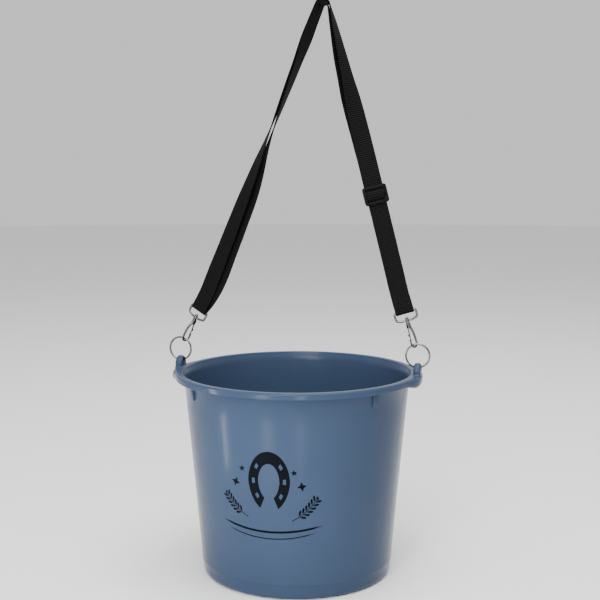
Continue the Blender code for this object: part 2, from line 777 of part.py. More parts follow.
def make_slider_webbing(frame):
    """The webbing's sewn end: up from the centre bar behind the strap, tail outside it."""
    radius = LOOP_RADIUS_AT_BAR
    half_bar = CROSS_BAR / 2 + 0.2 * MM
    inner = [(CENTRE_BAR_DEPTH - radius, 14 * MM), (CENTRE_BAR_DEPTH - radius, -half_bar)]
    turned_end = arc((CENTRE_BAR_DEPTH, -half_bar), radius, 180, 360, 6)[1:]
    tail = [(5.7 * MM, half_bar), (4.6 * MM, 13 * MM), (4.3 * MM, TAIL_LENGTH)]
    line = inner + turned_end + tail
    stations = []
    for i, (y, z) in enumerate(line):
        after = line[min(i + 1, len(line) - 1)]
        before = line[max(i - 1, 0)]
        along = Vector((0, after[0] - before[0], after[1] - before[1])).normalized()
        normal = Vector((0, along.z, -along.y))
        stations.append((Vector((0, y, z)), Vector((1, 0, 0)), normal))
    loop = ribbon("slider_webbing", stations, WEB_WIDTH, LOOP_THICK, black_webbing())
    loop.matrix_world = frame
    return loop


def make_strap():
    frames = strap_frames()
    frame, slider_length = slider_matrix(frames)
    make_webbing(frames, slider_length)
    make_slider(frame)
    make_slider_webbing(frame)

    def on_right_end(across, along):
        return on_webbing(frames, along, across, THREAD + THREAD_LIFT)

    def on_slider_tail(across, along):
        return Vector((across, TAIL_FACE, along))

    stitch_box("right_end_stitching", RIGHT_STITCH_ROWS, on_right_end)
    stitch_box("slider_stitching", SLIDER_STITCH_ROWS, on_slider_tail).matrix_world = frame


def run():
    clear_scene()
    make_bucket()
    section = wire_section()
    for side, sign in (("left", -1), ("right", 1)):
        make_ring(side, sign, section)
        make_hook(side, sign)
    make_strap()


run()
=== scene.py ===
"""Looks of the feed bucket: blue moulded tub, split rings, swivel snap hooks, webbing strap.

Lengths are in metres, in the frame's own axes: +X to the right-hand lug, -Y the printed
front, +Z up. Joint positions come from the frame; other sizes are the named values below.
"""
import json
import math
from math import cos, pi, radians, sin

import bmesh
import bpy
from mathutils import Matrix, Vector, noise


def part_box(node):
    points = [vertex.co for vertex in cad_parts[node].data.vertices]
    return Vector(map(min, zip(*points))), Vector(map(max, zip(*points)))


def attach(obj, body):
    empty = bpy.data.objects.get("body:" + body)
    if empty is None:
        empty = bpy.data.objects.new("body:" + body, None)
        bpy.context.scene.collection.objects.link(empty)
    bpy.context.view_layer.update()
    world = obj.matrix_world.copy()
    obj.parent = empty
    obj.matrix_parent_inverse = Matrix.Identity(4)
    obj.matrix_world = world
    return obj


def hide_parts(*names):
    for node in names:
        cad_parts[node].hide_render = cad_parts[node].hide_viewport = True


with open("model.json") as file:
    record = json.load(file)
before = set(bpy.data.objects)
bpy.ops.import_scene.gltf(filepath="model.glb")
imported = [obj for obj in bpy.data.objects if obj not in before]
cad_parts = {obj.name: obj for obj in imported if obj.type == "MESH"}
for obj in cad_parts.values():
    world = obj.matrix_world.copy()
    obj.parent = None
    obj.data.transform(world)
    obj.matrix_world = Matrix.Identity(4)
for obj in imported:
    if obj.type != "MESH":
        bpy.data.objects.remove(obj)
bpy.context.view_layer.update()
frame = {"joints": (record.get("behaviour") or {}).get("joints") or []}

MM = 0.001
JOINTS = {joint["name"]: joint for joint in frame["joints"]}

# ---- sizes --------------------------------------------------------------------------
# bucket
RIM_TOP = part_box("bucket")[1].z - 15.5 * MM
RIM_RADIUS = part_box("bucket")[1].y
RIM_SKIRT = 8.5 * MM
MOUTH_RADIUS = RIM_RADIUS - 10 * MM
SHOULDER_RADIUS = RIM_RADIUS - 12 * MM
BASE_RADIUS = 128.5 * MM
BASE_CORNER = 9 * MM
WALL = 2.5 * MM
FOOT_HEIGHT = 4 * MM
STEP_HEIGHT = 21 * MM
BLOCK_ANGLE = radians(38)
BLOCK_DEPTH = 4 * MM
BLOCK_WIDTH = 9 * MM
BLOCK_HEIGHT = 20 * MM
BLOCK_TAPER = 2 * MM
TURN_STEPS = 288
LUG_X = JOINTS["right_ring_swing"]["pos_m"][0]
LUG_THICK = 10 * MM
LUG_WIDTH = 25 * MM
LUG_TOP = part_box("bucket")[1].z
LUG_HOLE_RADIUS = 3.75 * MM
LUG_ROUNDING = 3.6 * MM
LUG_ROOT_RISE = 3.2 * MM
BOSS_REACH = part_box("bucket")[1].x
BOSS_DROP = 6.5 * MM
HINGE_Z = JOINTS["strap_swing"]["pos_m"][2]

# split rings
RING_RADIUS = 15.75 * MM
RING_WIDTH = 2.5 * MM
RING_THICK = 1.1 * MM
RING_PITCH = 1.22 * MM
RING_JOGGLE = radians(35)
RING_END_GAP = radians(5)
RING_START = radians(100)
RING_TURN = {"left": radians(-9), "right": 0.0}

# swivel snap hooks, measured from the centre of the eye's lower bar
EYE_WIDTH = 29.4 * MM
EYE_HEIGHT = 11.5 * MM
EYE_WIRE = 1.5 * MM
EYE_BOW = 1.5 * MM
HOOK_TURN = {"left": radians(235), "right": radians(55)}
EYE_TURN = {"left": radians(-24), "right": 0.0}
HOOK_WIRE = 1.38 * MM
LOOP_RADIUS = 5.3 * MM
LOOP_CENTRE = 32.5 * MM
STEM_RADIUS = 1.3 * MM
PIN_X = -1.2 * MM
PIN_Z = -8.6 * MM
PIN_RADIUS = 0.6 * MM
CHEEK_WIDTH = 4.8 * MM
SLOT_WIDTH = 2.4 * MM
GATE_TIP_Z = -28.4 * MM
GATE_WIRE = 0.95 * MM
SPRING_WIRE = 0.1 * MM

# strap
WEB_WIDTH = 25 * MM
WEB_THICK = 1.5 * MM
RIB_PITCH = 2.8 * MM
RIB_HEIGHT = 0.13 * MM
YARN_PITCH = 1.05 * MM
LAYER_OFFSET = 0.95 * MM
APEX = Vector((38.3, 0, 784.9)) * MM
APEX_RADIUS = 7 * MM
STRAIGHT_FROM_EYE = 22 * MM
BAR_OFFSET = 2.35 * MM
SPREAD_LENGTH = 30 * MM
TURN_BACK = 21 * MM
STATION_STEP = RIB_PITCH / 6
# how the webbing's width turns from the Y axis, at distances in mm from the strap's top
TWIST = (
    (-447, 66), (-387, 64), (-339, 57), (-292, 52), (-244, 38), (-188, 14), (-131, -1),
    (-83, -9), (-59, -20), (-36, -18), (-12, -13), (8, -10), (25, 2), (50, 12), (80, 21),
    (108, 30), (136, 49), (165, 60), (205, 75), (355, 75), (400, 90),
)
# how far the inner layer is pushed sideways and stands off, at distances from the top
FAN = (
    (-447, 0, 0), (-425, 7, 0.6), (-400, 9, 2.5), (-260, 8, 5), (-215, 4, 3), (-160, 0, 1.6),
    (-90, 0, 1), (-40, 0, 0), (30, 1, 1), (80, 2, 3.5), (140, 2, 3), (200, 0.5, 0.8),
    (232, 0, 0),
)

# slider
SLIDER_Z = 517 * MM
SLIDER_WIDTH = 32 * MM
SLIDER_LENGTH = 25 * MM
SLIDER_FRONT = 3.4 * MM
SLIDER_BACK = 4.8 * MM
SIDE_BAR = 3.1 * MM
CROSS_BAR = 4.0 * MM
CENTRE_BAR_DEPTH = 3.8 * MM
LOOP_THICK = 1.2 * MM
LAYER_END_GAP = 27 * MM
TAIL_START = 14 * MM
TAIL_LENGTH = 38 * MM
BAR_TURN_RADIUS = 1.9 * MM
HUMP_SPAN = 6.6 * MM
HUMP_FOOT = 1.35 * MM
HUMP_RISE = 2.6 * MM
HUMP_THICK = 0.9 * MM
THREAD = 0.35 * MM

# camera and light
CAMERA_AZIMUTH = radians(11.2)
CAMERA_TILT = radians(6.79)
CAMERA_DISTANCE = 1.558
CAMERA_HEIGHT = 0.560
CAMERA_LENS = 69.4
CAMERA_SHIFT = 0.0053
STREAK_RADIUS = 140 * MM
STREAK_HEIGHT = 175 * MM
STREAK_DISTANCE = 0.32
STREAK_SPREAD = radians(60)
WORLD_STRENGTH = 0.8
FLOOR_RADIUS = 9


# ---- helpers ------------------------------------------------------------------------
def smooth(x):
    x = min(max(x, 0.0), 1.0)
    return x * x * (3 - 2 * x)


def mix(a, b, share):
    return a + (b - a) * share


def in_mm(*points):
    """Points given in millimetres, as metres."""
    return [tuple(value * MM for value in point) for point in points]


def heading(line, i):
    """The direction of an open line at its point i."""
    return (line[min(i + 1, len(line) - 1)] - line[max(i - 1, 0)]).normalized()


def running_lengths(points):
    """How far along their line each of the points is."""
    total = [0.0]
    for a, b in zip(points, points[1:]):
        total.append(total[-1] + (Vector(b) - Vector(a)).length)
    return total


def extrude(bm):
    """Extrudes every face in place and gives the new vertices."""
    made = bmesh.ops.extrude_face_region(bm, geom=bm.faces[:])["geom"]
    return [v for v in made if isinstance(v, bmesh.types.BMVert)]


def arc(centre, radius, start, end, steps):
    """Points of an arc in a plane, from start to end in degrees."""
    turns = [radians(mix(start, end, i / steps)) for i in range(steps + 1)]
    return [(centre[0] + radius * cos(a), centre[1] + radius * sin(a)) for a in turns]


def curve_through(points, per_span):
    """A smooth line through points (Catmull-Rom), per_span steps between each two."""
    points = [Vector(p) for p in points]
    padded = [points[0] * 2 - points[1]] + points + [points[-1] * 2 - points[-2]]
    line = []
    for a, b, c, d in zip(padded, padded[1:], padded[2:], padded[3:]):
        for i in range(per_span):
            t = i / per_span
            line.append(
                (b * 2 + (c - a) * t + (a * 2 - b * 5 + c * 4 - d) * t**2
                 + (b * 3 - a - c * 3 + d) * t**3) / 2
            )
    return line + [points[-1]]


def finish_mesh(name, bm, mat, sharp=35):
    """An object of the bmesh, shaded smooth apart from edges over the sharp angle."""
    bmesh.ops.recalc_face_normals(bm, faces=bm.faces)
    mesh = bpy.data.meshes.new(name)
    bm.to_mesh(mesh)
    bm.free()
    mesh.materials.append(mat)
    mesh.shade_smooth()
    mesh.set_sharp_from_angle(angle=radians(sharp))
    obj = bpy.data.objects.new(name, mesh)
    bpy.context.scene.collection.objects.link(obj)
    return obj


def settle(obj, sharp=35):
    """Applies the modifiers, so that the object is its own final mesh."""
    bpy.context.view_layer.update()
    graph = bpy.context.evaluated_depsgraph_get()
    mesh = bpy.data.meshes.new_from_object(obj.evaluated_get(graph))
    obj.modifiers.clear()
    old = obj.data
    obj.data = mesh
    bpy.data.meshes.remove(old)
    mesh.shade_smooth()
    mesh.set_sharp_from_angle(angle=radians(sharp))
    return obj


def combine(obj, tools, operation, sharp=35):
    """Joins or cuts obj with the tools, which are then gone."""
    for tool in tools:
        step = obj.modifiers.new(operation.lower(), "BOOLEAN")
        step.operation = operation
        step.object = tool
    settle(obj, sharp)
    for tool in tools:
        bpy.data.objects.remove(tool, do_unlink=True)
    return obj


def bevel(obj, width, segments=3, angle=40):
    edge = obj.modifiers.new("round", "BEVEL")
    edge.width = width
    edge.segments = segments
    edge.angle_limit = radians(angle)
    return obj


def transform(obj, matrix):
    obj.data.transform(matrix)
    return obj


def join(name, objects):
    """One object from several, in the first one's place."""
    bm = bmesh.new()
    for obj in objects:
        bm.from_mesh(obj.data)
    mats = list(objects[0].data.materials)
    obj = finish_mesh(name, bm, mats[0])
    for old in objects:
        bpy.data.objects.remove(old, do_unlink=True)
    return obj


def box(name, size, centre, mat):
    bm = bmesh.new()
    bmesh.ops.create_cube(bm, size=1)
    bmesh.ops.scale(bm, vec=size, verts=bm.verts)
    bmesh.ops.translate(bm, vec=centre, verts=bm.verts)
    return finish_mesh(name, bm, mat)


def rounded_box(name, size, centre, mat, rounding, segments):
    return settle(bevel(box(name, size, centre, mat), rounding, segments))


def cylinder(name, radius, length, centre, axis, mat, segments=48):
    bm = bmesh.new()
    bmesh.ops.create_cone(
        bm, cap_ends=True, segments=segments, radius1=radius, radius2=radius, depth=length
    )
    turn = Vector((0, 0, 1)).rotation_difference(Vector(axis)).to_matrix().to_4x4()
    bmesh.ops.transform(bm, matrix=Matrix.Translation(centre) @ turn, verts=bm.verts)
    return finish_mesh(name, bm, mat)


def lathe(name, profile, mat, steps):
    """A profile of (radius, height) turned round Z; its ends lie on the axis."""
    return loft_round(name, lambda angle: profile, mat, steps)


def loft_round(name, profile_at, mat, steps):
    """Like lathe, with a profile that may change with the angle round Z."""
    bm = bmesh.new()
    columns = []
    first = profile_at(0)
    poles = [bm.verts.new((0, 0, first[0][1])), bm.verts.new((0, 0, first[-1][1]))]
    for i in range(steps):
        a = 2 * pi * i / steps
        column = [
            bm.verts.new((r * cos(a), r * sin(a), z)) for r, z in profile_at(a)[1:-1]
        ]
        columns.append([poles[0]] + column + [poles[1]])
    for near, far in zip(columns, columns[1:] + columns[:1]):
        for i in range(len(near) - 1):
            corners = [near[i], near[i + 1], far[i + 1], far[i]]
            bm.faces.new(list(dict.fromkeys(corners)))
    return finish_mesh(name, bm, mat)


def sweep(name, stations, mat, closed=False, lengths=None):
    """A closed outline carried along stations; each station is a list of points in space.
    With lengths, UVs give the way round the outline and the length along, in metres."""
    bm = bmesh.new()
    uv = bm.loops.layers.uv.new("UVMap") if lengths else None
    rows = [[bm.verts.new(p) for p in station] for station in stations]
    count = len(rows[0])
    pairs = list(zip(rows, rows[1:]))
    if closed:
        pairs.append((rows[-1], rows[0]))
    middle = stations[len(stations) // 2]
    across = running_lengths(middle + middle[:1])
    for k, (row, following) in enumerate(pairs):
        for i in range(count):
            j = (i + 1) % count
            face = bm.faces.new((row[i], row[j], following[j], following[i]))
            if uv:
                spots = ((i, k), (i + 1, k), (i + 1, k + 1), (i, k + 1))
                for loop, (a, b) in zip(face.loops, spots):
                    loop[uv].uv = (across[a], lengths[b])
    if not closed:
        bm.faces.new(rows[0])
        bm.faces.new(rows[-1])
    return finish_mesh(name, bm, mat, 60)


def wire(name, line, radius, mat, up=(0, 1, 0), closed=False, sides=18, flat=1.0):
    """A round or oval wire along a line. radius is a number or a function of the share
    of the way along; flat is the section's thickness along up, as a share of radius."""
    line = [Vector(p) for p in line]
    last = len(line) - 1
    size = radius if callable(radius) else lambda share: radius
    up = Vector(up)
    stations = []
    for i, point in enumerate(line):
        if closed:
            along = (line[(i + 1) % len(line)] - line[i - 1]).normalized()
        else:
            along = heading(line, i)
        side = along.cross(up).normalized()
        over = side.cross(along).normalized()
        r = size(i / last)
        stations.append((point, along, side, over, r))
    if not closed:
        stations = round_ends(stations)
    outlines = [
        [
            p + side * (r * cos(a)) + over * (r * flat * sin(a))
            for a in (2 * pi * k / sides for k in range(sides))
        ]
        for p, along, side, over, r in stations
    ]
    return sweep(name, outlines, mat, closed)


def round_ends(stations):
    """Adds shrinking stations at both ends of an open wire."""
    steps = 4
    ends = []
    for (p, along, side, over, r), sense in ((stations[0], -1), (stations[-1], 1)):
        cap = []
        for k in range(1, steps + 1):
            a = pi / 2 * k / (steps + 0.25)
            cap.append((p + along * (sense * r * sin(a)), along, side, over, r * cos(a)))
        ends.append(cap)
    return list(reversed(ends[0])) + stations + ends[1]


# ---- materials ----------------------------------------------------------------------
class Look:
    """A Principled material with short ways to drive it from noise."""

    def __init__(self, name, color, roughness, metallic=0.0, specular=0.5):
        self.mat = bpy.data.materials.new(name)
        self.mat.use_nodes = True
        self.nodes = self.mat.node_tree.nodes
        self.links = self.mat.node_tree.links
        self.shader = self.nodes["Principled BSDF"]
        self.shader.inputs["Base Color"].default_value = (*color, 1)
        self.shader.inputs["Roughness"].default_value = roughness
        self.shader.inputs["Metallic"].default_value = metallic
        self.shader.inputs["Specular IOR Level"].default_value = specular
        self.height = None

    def node(self, kind, **values):
        made = self.nodes.new(kind)
        for key, value in values.items():
            if key in made.inputs:
                made.inputs[key].default_value = value
            else:
                setattr(made, key, value)
        return made

    def place(self, stretch=(1, 1, 1), source="Object"):
        coordinates = self.node("ShaderNodeTexCoord")
        mapping = self.node("ShaderNodeMapping")
        mapping.inputs["Scale"].default_value = stretch
        self.links.new(coordinates.outputs[source], mapping.inputs["Vector"])
        return mapping.outputs["Vector"]

    def noise(self, scale, detail=3.0, stretch=(1, 1, 1), source="Object"):
        made = self.node("ShaderNodeTexNoise", Scale=scale, Detail=detail)
        self.links.new(self.place(stretch, source), made.inputs["Vector"])
        return made.outputs["Fac"]

    def ramp(self, value, low, high, out_low=0.0, out_high=1.0):
        made = self.node("ShaderNodeMapRange")
        made.inputs["From Min"].default_value = low
        made.inputs["From Max"].default_value = high
        made.inputs["To Min"].default_value = out_low
        made.inputs["To Max"].default_value = out_high
        self.links.new(value, made.inputs["Value"])
        return made.outputs["Result"]

    def math(self, operation, a, b):
        made = self.node("ShaderNodeMath", operation=operation)
        for socket, value in zip(made.inputs, (a, b)):
            if isinstance(value, (int, float)):
                socket.default_value = value
            else:
                self.links.new(value, socket)
        return made.outputs["Value"]

    def wave_uv(self, axis, pitch):
        """0 to 1 and back once for each pitch along a UV axis, X or Y."""
        split = self.node("ShaderNodeSeparateXYZ")
        self.links.new(self.place(source="UV"), split.inputs["Vector"])
        turns = self.math("MULTIPLY", split.outputs[axis], 2 * pi / pitch)
        return self.ramp(self.math("SINE", turns, 0.0), -1.0, 1.0)

    def color(self, factor, low, high):
        made = self.node("ShaderNodeMix", data_type="RGBA")
        made.inputs["A"].default_value = (*low, 1)
        made.inputs["B"].default_value = (*high, 1)
        self.links.new(factor, made.inputs["Factor"])
        self.links.new(made.outputs["Result"], self.shader.inputs["Base Color"])

    def roughness(self, value):
        self.links.new(value, self.shader.inputs["Roughness"])

    def bump(self, value, strength, distance):
        made = self.node("ShaderNodeBump", Strength=strength, Distance=distance)
        self.links.new(value, made.inputs["Height"])
        if self.height:
            self.links.new(self.height, made.inputs["Normal"])
        self.height = made.outputs["Normal"]
        self.links.new(self.height, self.shader.inputs["Normal"])


def blue_plastic():
    """Moulded polypropylene: soft gloss, faint flow streaks, orange peel and scuffs."""
    look = Look("blue_plastic", (0.031, 0.050, 0.090), 0.22, specular=0.10)
    cloud = look.noise(9.0, 4.0)
    look.color(look.ramp(cloud, 0.3, 0.7), (0.030, 0.048, 0.087), (0.033, 0.052, 0.094))
    streaks = look.noise(55.0, 4.0, (1, 1, 0.05))
    rub = look.ramp(look.noise(160.0, 6.0), 0.45, 0.75, 0.0, 0.03)
    look.roughness(look.math("ADD", look.ramp(streaks, 0.3, 0.7, 0.15, 0.25), rub))
    look.bump(look.noise(14.0, 1.0, (1, 1, 0.2)), 0.2, 0.8 * MM)
    look.bump(look.noise(700.0, 2.0), 0.03, 0.1 * MM)
    return look.mat


def nickel():
    """Bright nickel plate with fine polishing marks and slight dulling."""
    look = Look("nickel", (0.17, 0.17, 0.165), 0.16, 1.0)
    dull = look.noise(240.0, 5.0)
    look.color(look.ramp(dull, 0.35, 0.75), (0.18, 0.178, 0.173), (0.085, 0.084, 0.082))
    look.roughness(look.ramp(dull, 0.3, 0.8, 0.12, 0.30))
    look.bump(look.noise(1500.0, 3.0, (1, 1, 0.15)), 0.08, 0.05 * MM)
    return look.mat


def webbing():
    """Black polypropylene webbing: yarn bundles across the ribs, with painted shade darkening the
    valleys between the ribs.
    """
    look = Look("black_webbing", (0.006, 0.006, 0.0065), 0.78, specular=0.06)
    ribs = look.wave_uv("Y", RIB_PITCH)
    yarns = look.wave_uv("X", YARN_PITCH)
    fibre = look.noise(2.2, 4.0, (4200, 420, 1), "UV")
    # painted shade: the colour is darker in the valleys between the ribs, multiplied by random
    # fibre tone
    valley_shade_and_fibre_tone = look.math(
        "MULTIPLY", look.ramp(ribs, 0.1, 0.8, 0.12, 1.0), look.ramp(fibre, 0.3, 0.7, 0.7, 1.0)
    )
    look.color(valley_shade_and_fibre_tone, (0.0003, 0.0003, 0.0004), (0.0085, 0.0085, 0.009))
    look.roughness(look.ramp(fibre, 0.3, 0.7, 0.60, 0.82))
    look.bump(yarns, 0.45, 0.12 * MM)
    look.bump(ribs, 0.6, 0.22 * MM)
    look.bump(fibre, 0.25, 0.06 * MM)
    return look.mat


def black_plastic():
    """Moulded acetal with a fine grain and rubbed high spots."""
    look = Look("black_plastic", (0.004, 0.004, 0.0045), 0.38, specular=0.09)
    grain = look.noise(900.0, 3.0)
    look.roughness(look.ramp(look.noise(220.0, 4.0), 0.3, 0.7, 0.28, 0.46))
    look.color(look.ramp(grain, 0.3, 0.7), (0.003, 0.003, 0.0035), (0.0055, 0.0055, 0.006))
    look.bump(grain, 0.15, 0.06 * MM)
    return look.mat


def black_thread():
    """Twisted polyester sewing thread."""
    look = Look("black_thread", (0.008, 0.008, 0.009), 0.6, specular=0.12)
    twist = look.noise(2600.0, 2.0, (1, 1, 0.4))
    look.color(look.ramp(twist, 0.3, 0.7), (0.004, 0.004, 0.0045), (0.013, 0.013, 0.014))
    look.bump(twist, 0.4, 0.08 * MM)
    return look.mat


def print_ink():
    """Screen-print ink: nearly black, slightly thin in places."""
    look = Look("print_ink", (0.0015, 0.0022, 0.004), 0.6, specular=0.05)
    worn = look.noise(420.0, 5.0)
    look.color(look.ramp(worn, 0.62, 0.82), (0.0012, 0.0018, 0.0035), (0.006, 0.009, 0.016))
    look.roughness(look.ramp(worn, 0.3, 0.7, 0.5, 0.65))
    look.bump(worn, 0.1, 0.03 * MM)
    return look.mat


def pale_floor():
    look = Look("pale_floor", (0.86, 0.86, 0.86), 0.7)
    look.color(look.noise(3.0), (0.86, 0.86, 0.86), (0.88, 0.88, 0.88))
    return look.mat


BLUE = blue_plastic()
NICKEL = nickel()
WEBBING = webbing()
PLASTIC = black_plastic()
THREAD_LOOK = black_thread()
INK = print_ink()
FLOOR_PAINT = pale_floor()


def piece(obj, body, node):
    """Places a finished piece on its body and hides the CAD node it stands for, if one is given."""
    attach(obj, body)
    if node:
        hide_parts(node)
    return obj


# ---- bucket -------------------------------------------------------------------------
def lug_share(angle):
    """1 on a lug's axis, falling to 0 where its bulge has died away along the rim."""
    away = abs((math.degrees(angle) + 90) % 180 - 90)
    return smooth((20 - away) / 14)


def wall_radius(z):
    slope = (SHOULDER_RADIUS - BASE_RADIUS) / (RIM_TOP - RIM_SKIRT)
    return BASE_RADIUS + slope * z


def tub_profile(angle):
    """Outside from the middle of the underside to the rim, then down inside to the floor."""
    share = lug_share(angle)
    reach = mix(RIM_RADIUS, BOSS_REACH - 0.3 * MM, share)
    skirt = RIM_TOP - RIM_SKIRT - BOSS_DROP * share
    corner = mix(3.0, 5.5, share) * MM
    low_corner = mix(0.9, 6.5, share) * MM
    inset = BASE_RADIUS - BASE_CORNER
    under = [(0, FOOT_HEIGHT), (20 * MM, FOOT_HEIGHT), (70 * MM, FOOT_HEIGHT)]
    under += arc((inset - 7.5 * MM, FOOT_HEIGHT - 1 * MM), 1 * MM, 90, 15, 3)
    under += arc((inset - 4.8 * MM, 0.8 * MM), 0.8 * MM, 195, 270, 4)
    under += arc((inset, BASE_CORNER), BASE_CORNER, -90, -2, 10)
    step = [
        (wall_radius(STEP_HEIGHT - 0.4 * MM), STEP_HEIGHT - 0.4 * MM),
        (wall_radius(STEP_HEIGHT) + 0.15 * MM, STEP_HEIGHT),
        (wall_radius(STEP_HEIGHT) + 0.55 * MM, STEP_HEIGHT + 0.35 * MM),
        (wall_radius(STEP_HEIGHT) + 0.62 * MM, STEP_HEIGHT + 1.0 * MM),
    ]
    low = STEP_HEIGHT + 12 * MM
    high = RIM_TOP - RIM_SKIRT - 3 * MM
    wall = [(wall_radius(mix(low, high, i / 8)), mix(low, high, i / 8)) for i in range(9)]
    ceiling = mix(RIM_TOP - 3.2 * MM, skirt + 0.2 * MM, share)
    hang = reach - max(2.6 * MM, low_corner + 0.9 * MM)
    crook = SHOULDER_RADIUS + 2.5 * MM
    rim = [
        (SHOULDER_RADIUS + 0.6 * MM, mix(high, skirt, share) + 1.2 * MM),
        (crook, ceiling - 0.8 * MM * (1 - share)),
        (crook + 1.5 * MM, ceiling),
        (hang - 1 * MM, ceiling),
        (hang, ceiling - 0.8 * MM * (1 - share)),
        (hang, skirt + 0.3 * MM * (1 - share)),
    ]
    rim += arc((hang + 0.7 * MM, skirt + 0.7 * MM), 0.7 * MM, 225, 270, 2)
    rim += arc((reach - low_corner, skirt + low_corner), low_corner, 270, 360, 8)
    rim += arc((reach - corner, RIM_TOP - corner), corner, 0, 90, 8)
    lip = arc((MOUTH_RADIUS + 1.2 * MM, RIM_TOP - 1.2 * MM), 1.2 * MM, 90, 180, 4)
    lip += [
        (MOUTH_RADIUS - 1.0 * MM, RIM_TOP - 3.2 * MM),
        (MOUTH_RADIUS - 2.4 * MM, RIM_TOP - 5.2 * MM),
        (SHOULDER_RADIUS - WALL + 0.9 * MM, RIM_TOP - 8 * MM),
        (SHOULDER_RADIUS - WALL, RIM_TOP - 12 * MM),
    ]
    floor = FOOT_HEIGHT + WALL
    inside = []
    for i in range(1, 9):
        z = mix(RIM_TOP - 12 * MM, floor + 9 * MM, i / 8)
        inside.append((wall_radius(z) - WALL, z))
    bend = arc((inside[-1][0] - 8.8 * MM, floor + 8.8 * MM), 8.8 * MM, -4, -90, 8)
    bottom = [(70 * MM, floor), (20 * MM, floor), (0, floor)]
    return under + step + wall + rim + lip + inside + bend + bottom


def lug(sign):
    """A plate across the rim with an arched top and softly rounded edges."""
    radius = LUG_WIDTH / 2
    outline = [(-radius, RIM_TOP - 9 * MM), (radius, RIM_TOP - 9 * MM)]
    outline += arc((0, LUG_TOP - radius), radius, 0, 180, 40)
    near = LUG_X - LUG_THICK / 2
    bm = bmesh.new()
    bm.faces.new([bm.verts.new((sign * near, y, z)) for y, z in outline])
    bmesh.ops.translate(bm, vec=(sign * LUG_THICK, 0, 0), verts=extrude(bm))
    return settle(bevel(finish_mesh("lug", bm, BLUE), LUG_ROUNDING, 6, 30))


def lug_fillet(sign):
    """The soft root of a lug, spreading over the top of the rim."""
    rise = LUG_ROOT_RISE
    layers = [(-1.0 * MM, rise)]
    for i in range(9):
        a = radians(i * 10 + 8)
        layers.append((rise * (1 - cos(a)), rise * (1 - sin(a)) - 0.15 * MM))
    rows = []
    steps = 72
    squareness = 0.45
    for height, spread in layers:
        row = []
        for k in range(steps):
            a = 2 * pi * k / steps
            c, s = cos(a), sin(a)
            x = math.copysign(abs(c) ** squareness, c) * (LUG_THICK / 2 - 0.1 * MM)
            y = math.copysign(abs(s) ** squareness, s) * (LUG_WIDTH / 2 - 0.1 * MM)
            outward = 0.35 if x * sign > 0 else 1.0
            x += c * spread * outward
            y += s * spread
            row.append((sign * LUG_X + x, y, RIM_TOP + height))
        rows.append(row)
    return sweep("lug_root", rows, BLUE)


def lug_bore(sign):
    """A bore through the lug with softened ends, as a cutter."""
    half = LUG_THICK / 2
    r = LUG_HOLE_RADIUS
    profile = [(0, -9 * MM), (r + 4.6 * MM, -9 * MM)]
    profile += [(r + 1.0 * MM, -half), (r + 0.35 * MM, -half + 0.4 * MM), (r, -half + 1.0 * MM)]
    profile += [(radius, -z) for radius, z in reversed(profile)]
    cutter = lathe("bore", profile, BLUE, 64)
    turn = Matrix.Rotation(radians(90), 4, "Y")
    return transform(cutter, Matrix.Translation((sign * LUG_X, 0, HINGE_Z)) @ turn)


def stacking_block(angle):
    high = RIM_TOP - RIM_SKIRT + 1 * MM
    low = high - BLOCK_HEIGHT
    middle = (high + low) / 2
    centre = (SHOULDER_RADIUS + 0.8 * MM, 0, middle)
    block = box("block", (BLOCK_DEPTH, BLOCK_WIDTH, high - low), centre, BLUE)
    for vert in block.data.vertices:
        if vert.co.z < middle:
            vert.co.x -= BLOCK_TAPER
    settle(bevel(block, 0.8 * MM))
    return transform(block, Matrix.Rotation(angle, 4, "Z"))


def make_bucket():
    tub = loft_round("bucket_tub", tub_profile, BLUE, TURN_STEPS)
    added = []
    for sign in (-1, 1):
        added += [lug(sign), lug_fillet(sign)]
    for index in range(4):
        mirror = BLOCK_ANGLE if index % 2 else -BLOCK_ANGLE
        added.append(stacking_block(mirror + pi * (index // 2)))
    combine(tub, added, "UNION")
    combine(tub, [lug_bore(-1), lug_bore(1)], "DIFFERENCE", 40)
    moulding_mark = in_mm((0, 3.4), (2.2, 3.4), (2.4, 4.4), (0, 4.4))
    gate_mark = lathe("gate_mark", moulding_mark, BLUE, 40)
    combine(tub, [gate_mark], "UNION", 40)
    return piece(tub, "bucket", "bucket")


# ---- print on the front -------------------------------------------------------------
PRINT_MIDDLE = -8 * MM
PRINT_LIFT = 0.10 * MM
INK_DEPTH = 0.06 * MM
# each star's place from the print's middle, size, number of points and turn
STARS = (
    (-36.3, 175, 4.6, 5, 90), (-46.1, 156, 6.6, 4, 72), (32.7, 173, 4.6, 5, 98),
    (42.4, 155, 6.6, 4, 100),
)


def on_wall(u, z, lift):
    """The place on the wall at a distance u round it from the front and a height z."""
    radius = wall_radius(z)
    angle = u / radius - pi / 2
    return Vector((cos(angle), sin(angle), 0)) * (radius + lift) + Vector((0, 0, z))


def decal(name, outlines):
    """Flat outlines of (across, height) laid on the wall as a thin film of ink."""
    bm = bmesh.new()
    for outline in outlines:
        bm.faces.new([bm.verts.new((u, z, 0)) for u, z in outline])
    step = 3 * MM
    for axis in (0, 1):
        values = [v.co[axis] for v in bm.verts]
        cut = math.floor(min(values) / step) + 1
        while cut * step < max(values):
            spot = [0, 0, 0]
            normal = [0, 0, 0]
            spot[axis] = cut * step
            normal[axis] = 1
            geom = bm.verts[:] + bm.edges[:] + bm.faces[:]
            bmesh.ops.bisect_plane(bm, geom=geom, plane_co=spot, plane_no=normal)
            cut += 1
    bottom = list(bm.verts)
    for verts, lift in ((bottom, PRINT_LIFT), (extrude(bm), PRINT_LIFT + INK_DEPTH)):
        for vert in verts:
            vert.co = on_wall(vert.co.x, vert.co.y, lift)
    return piece(finish_mesh(name, bm, INK), "bucket", None)


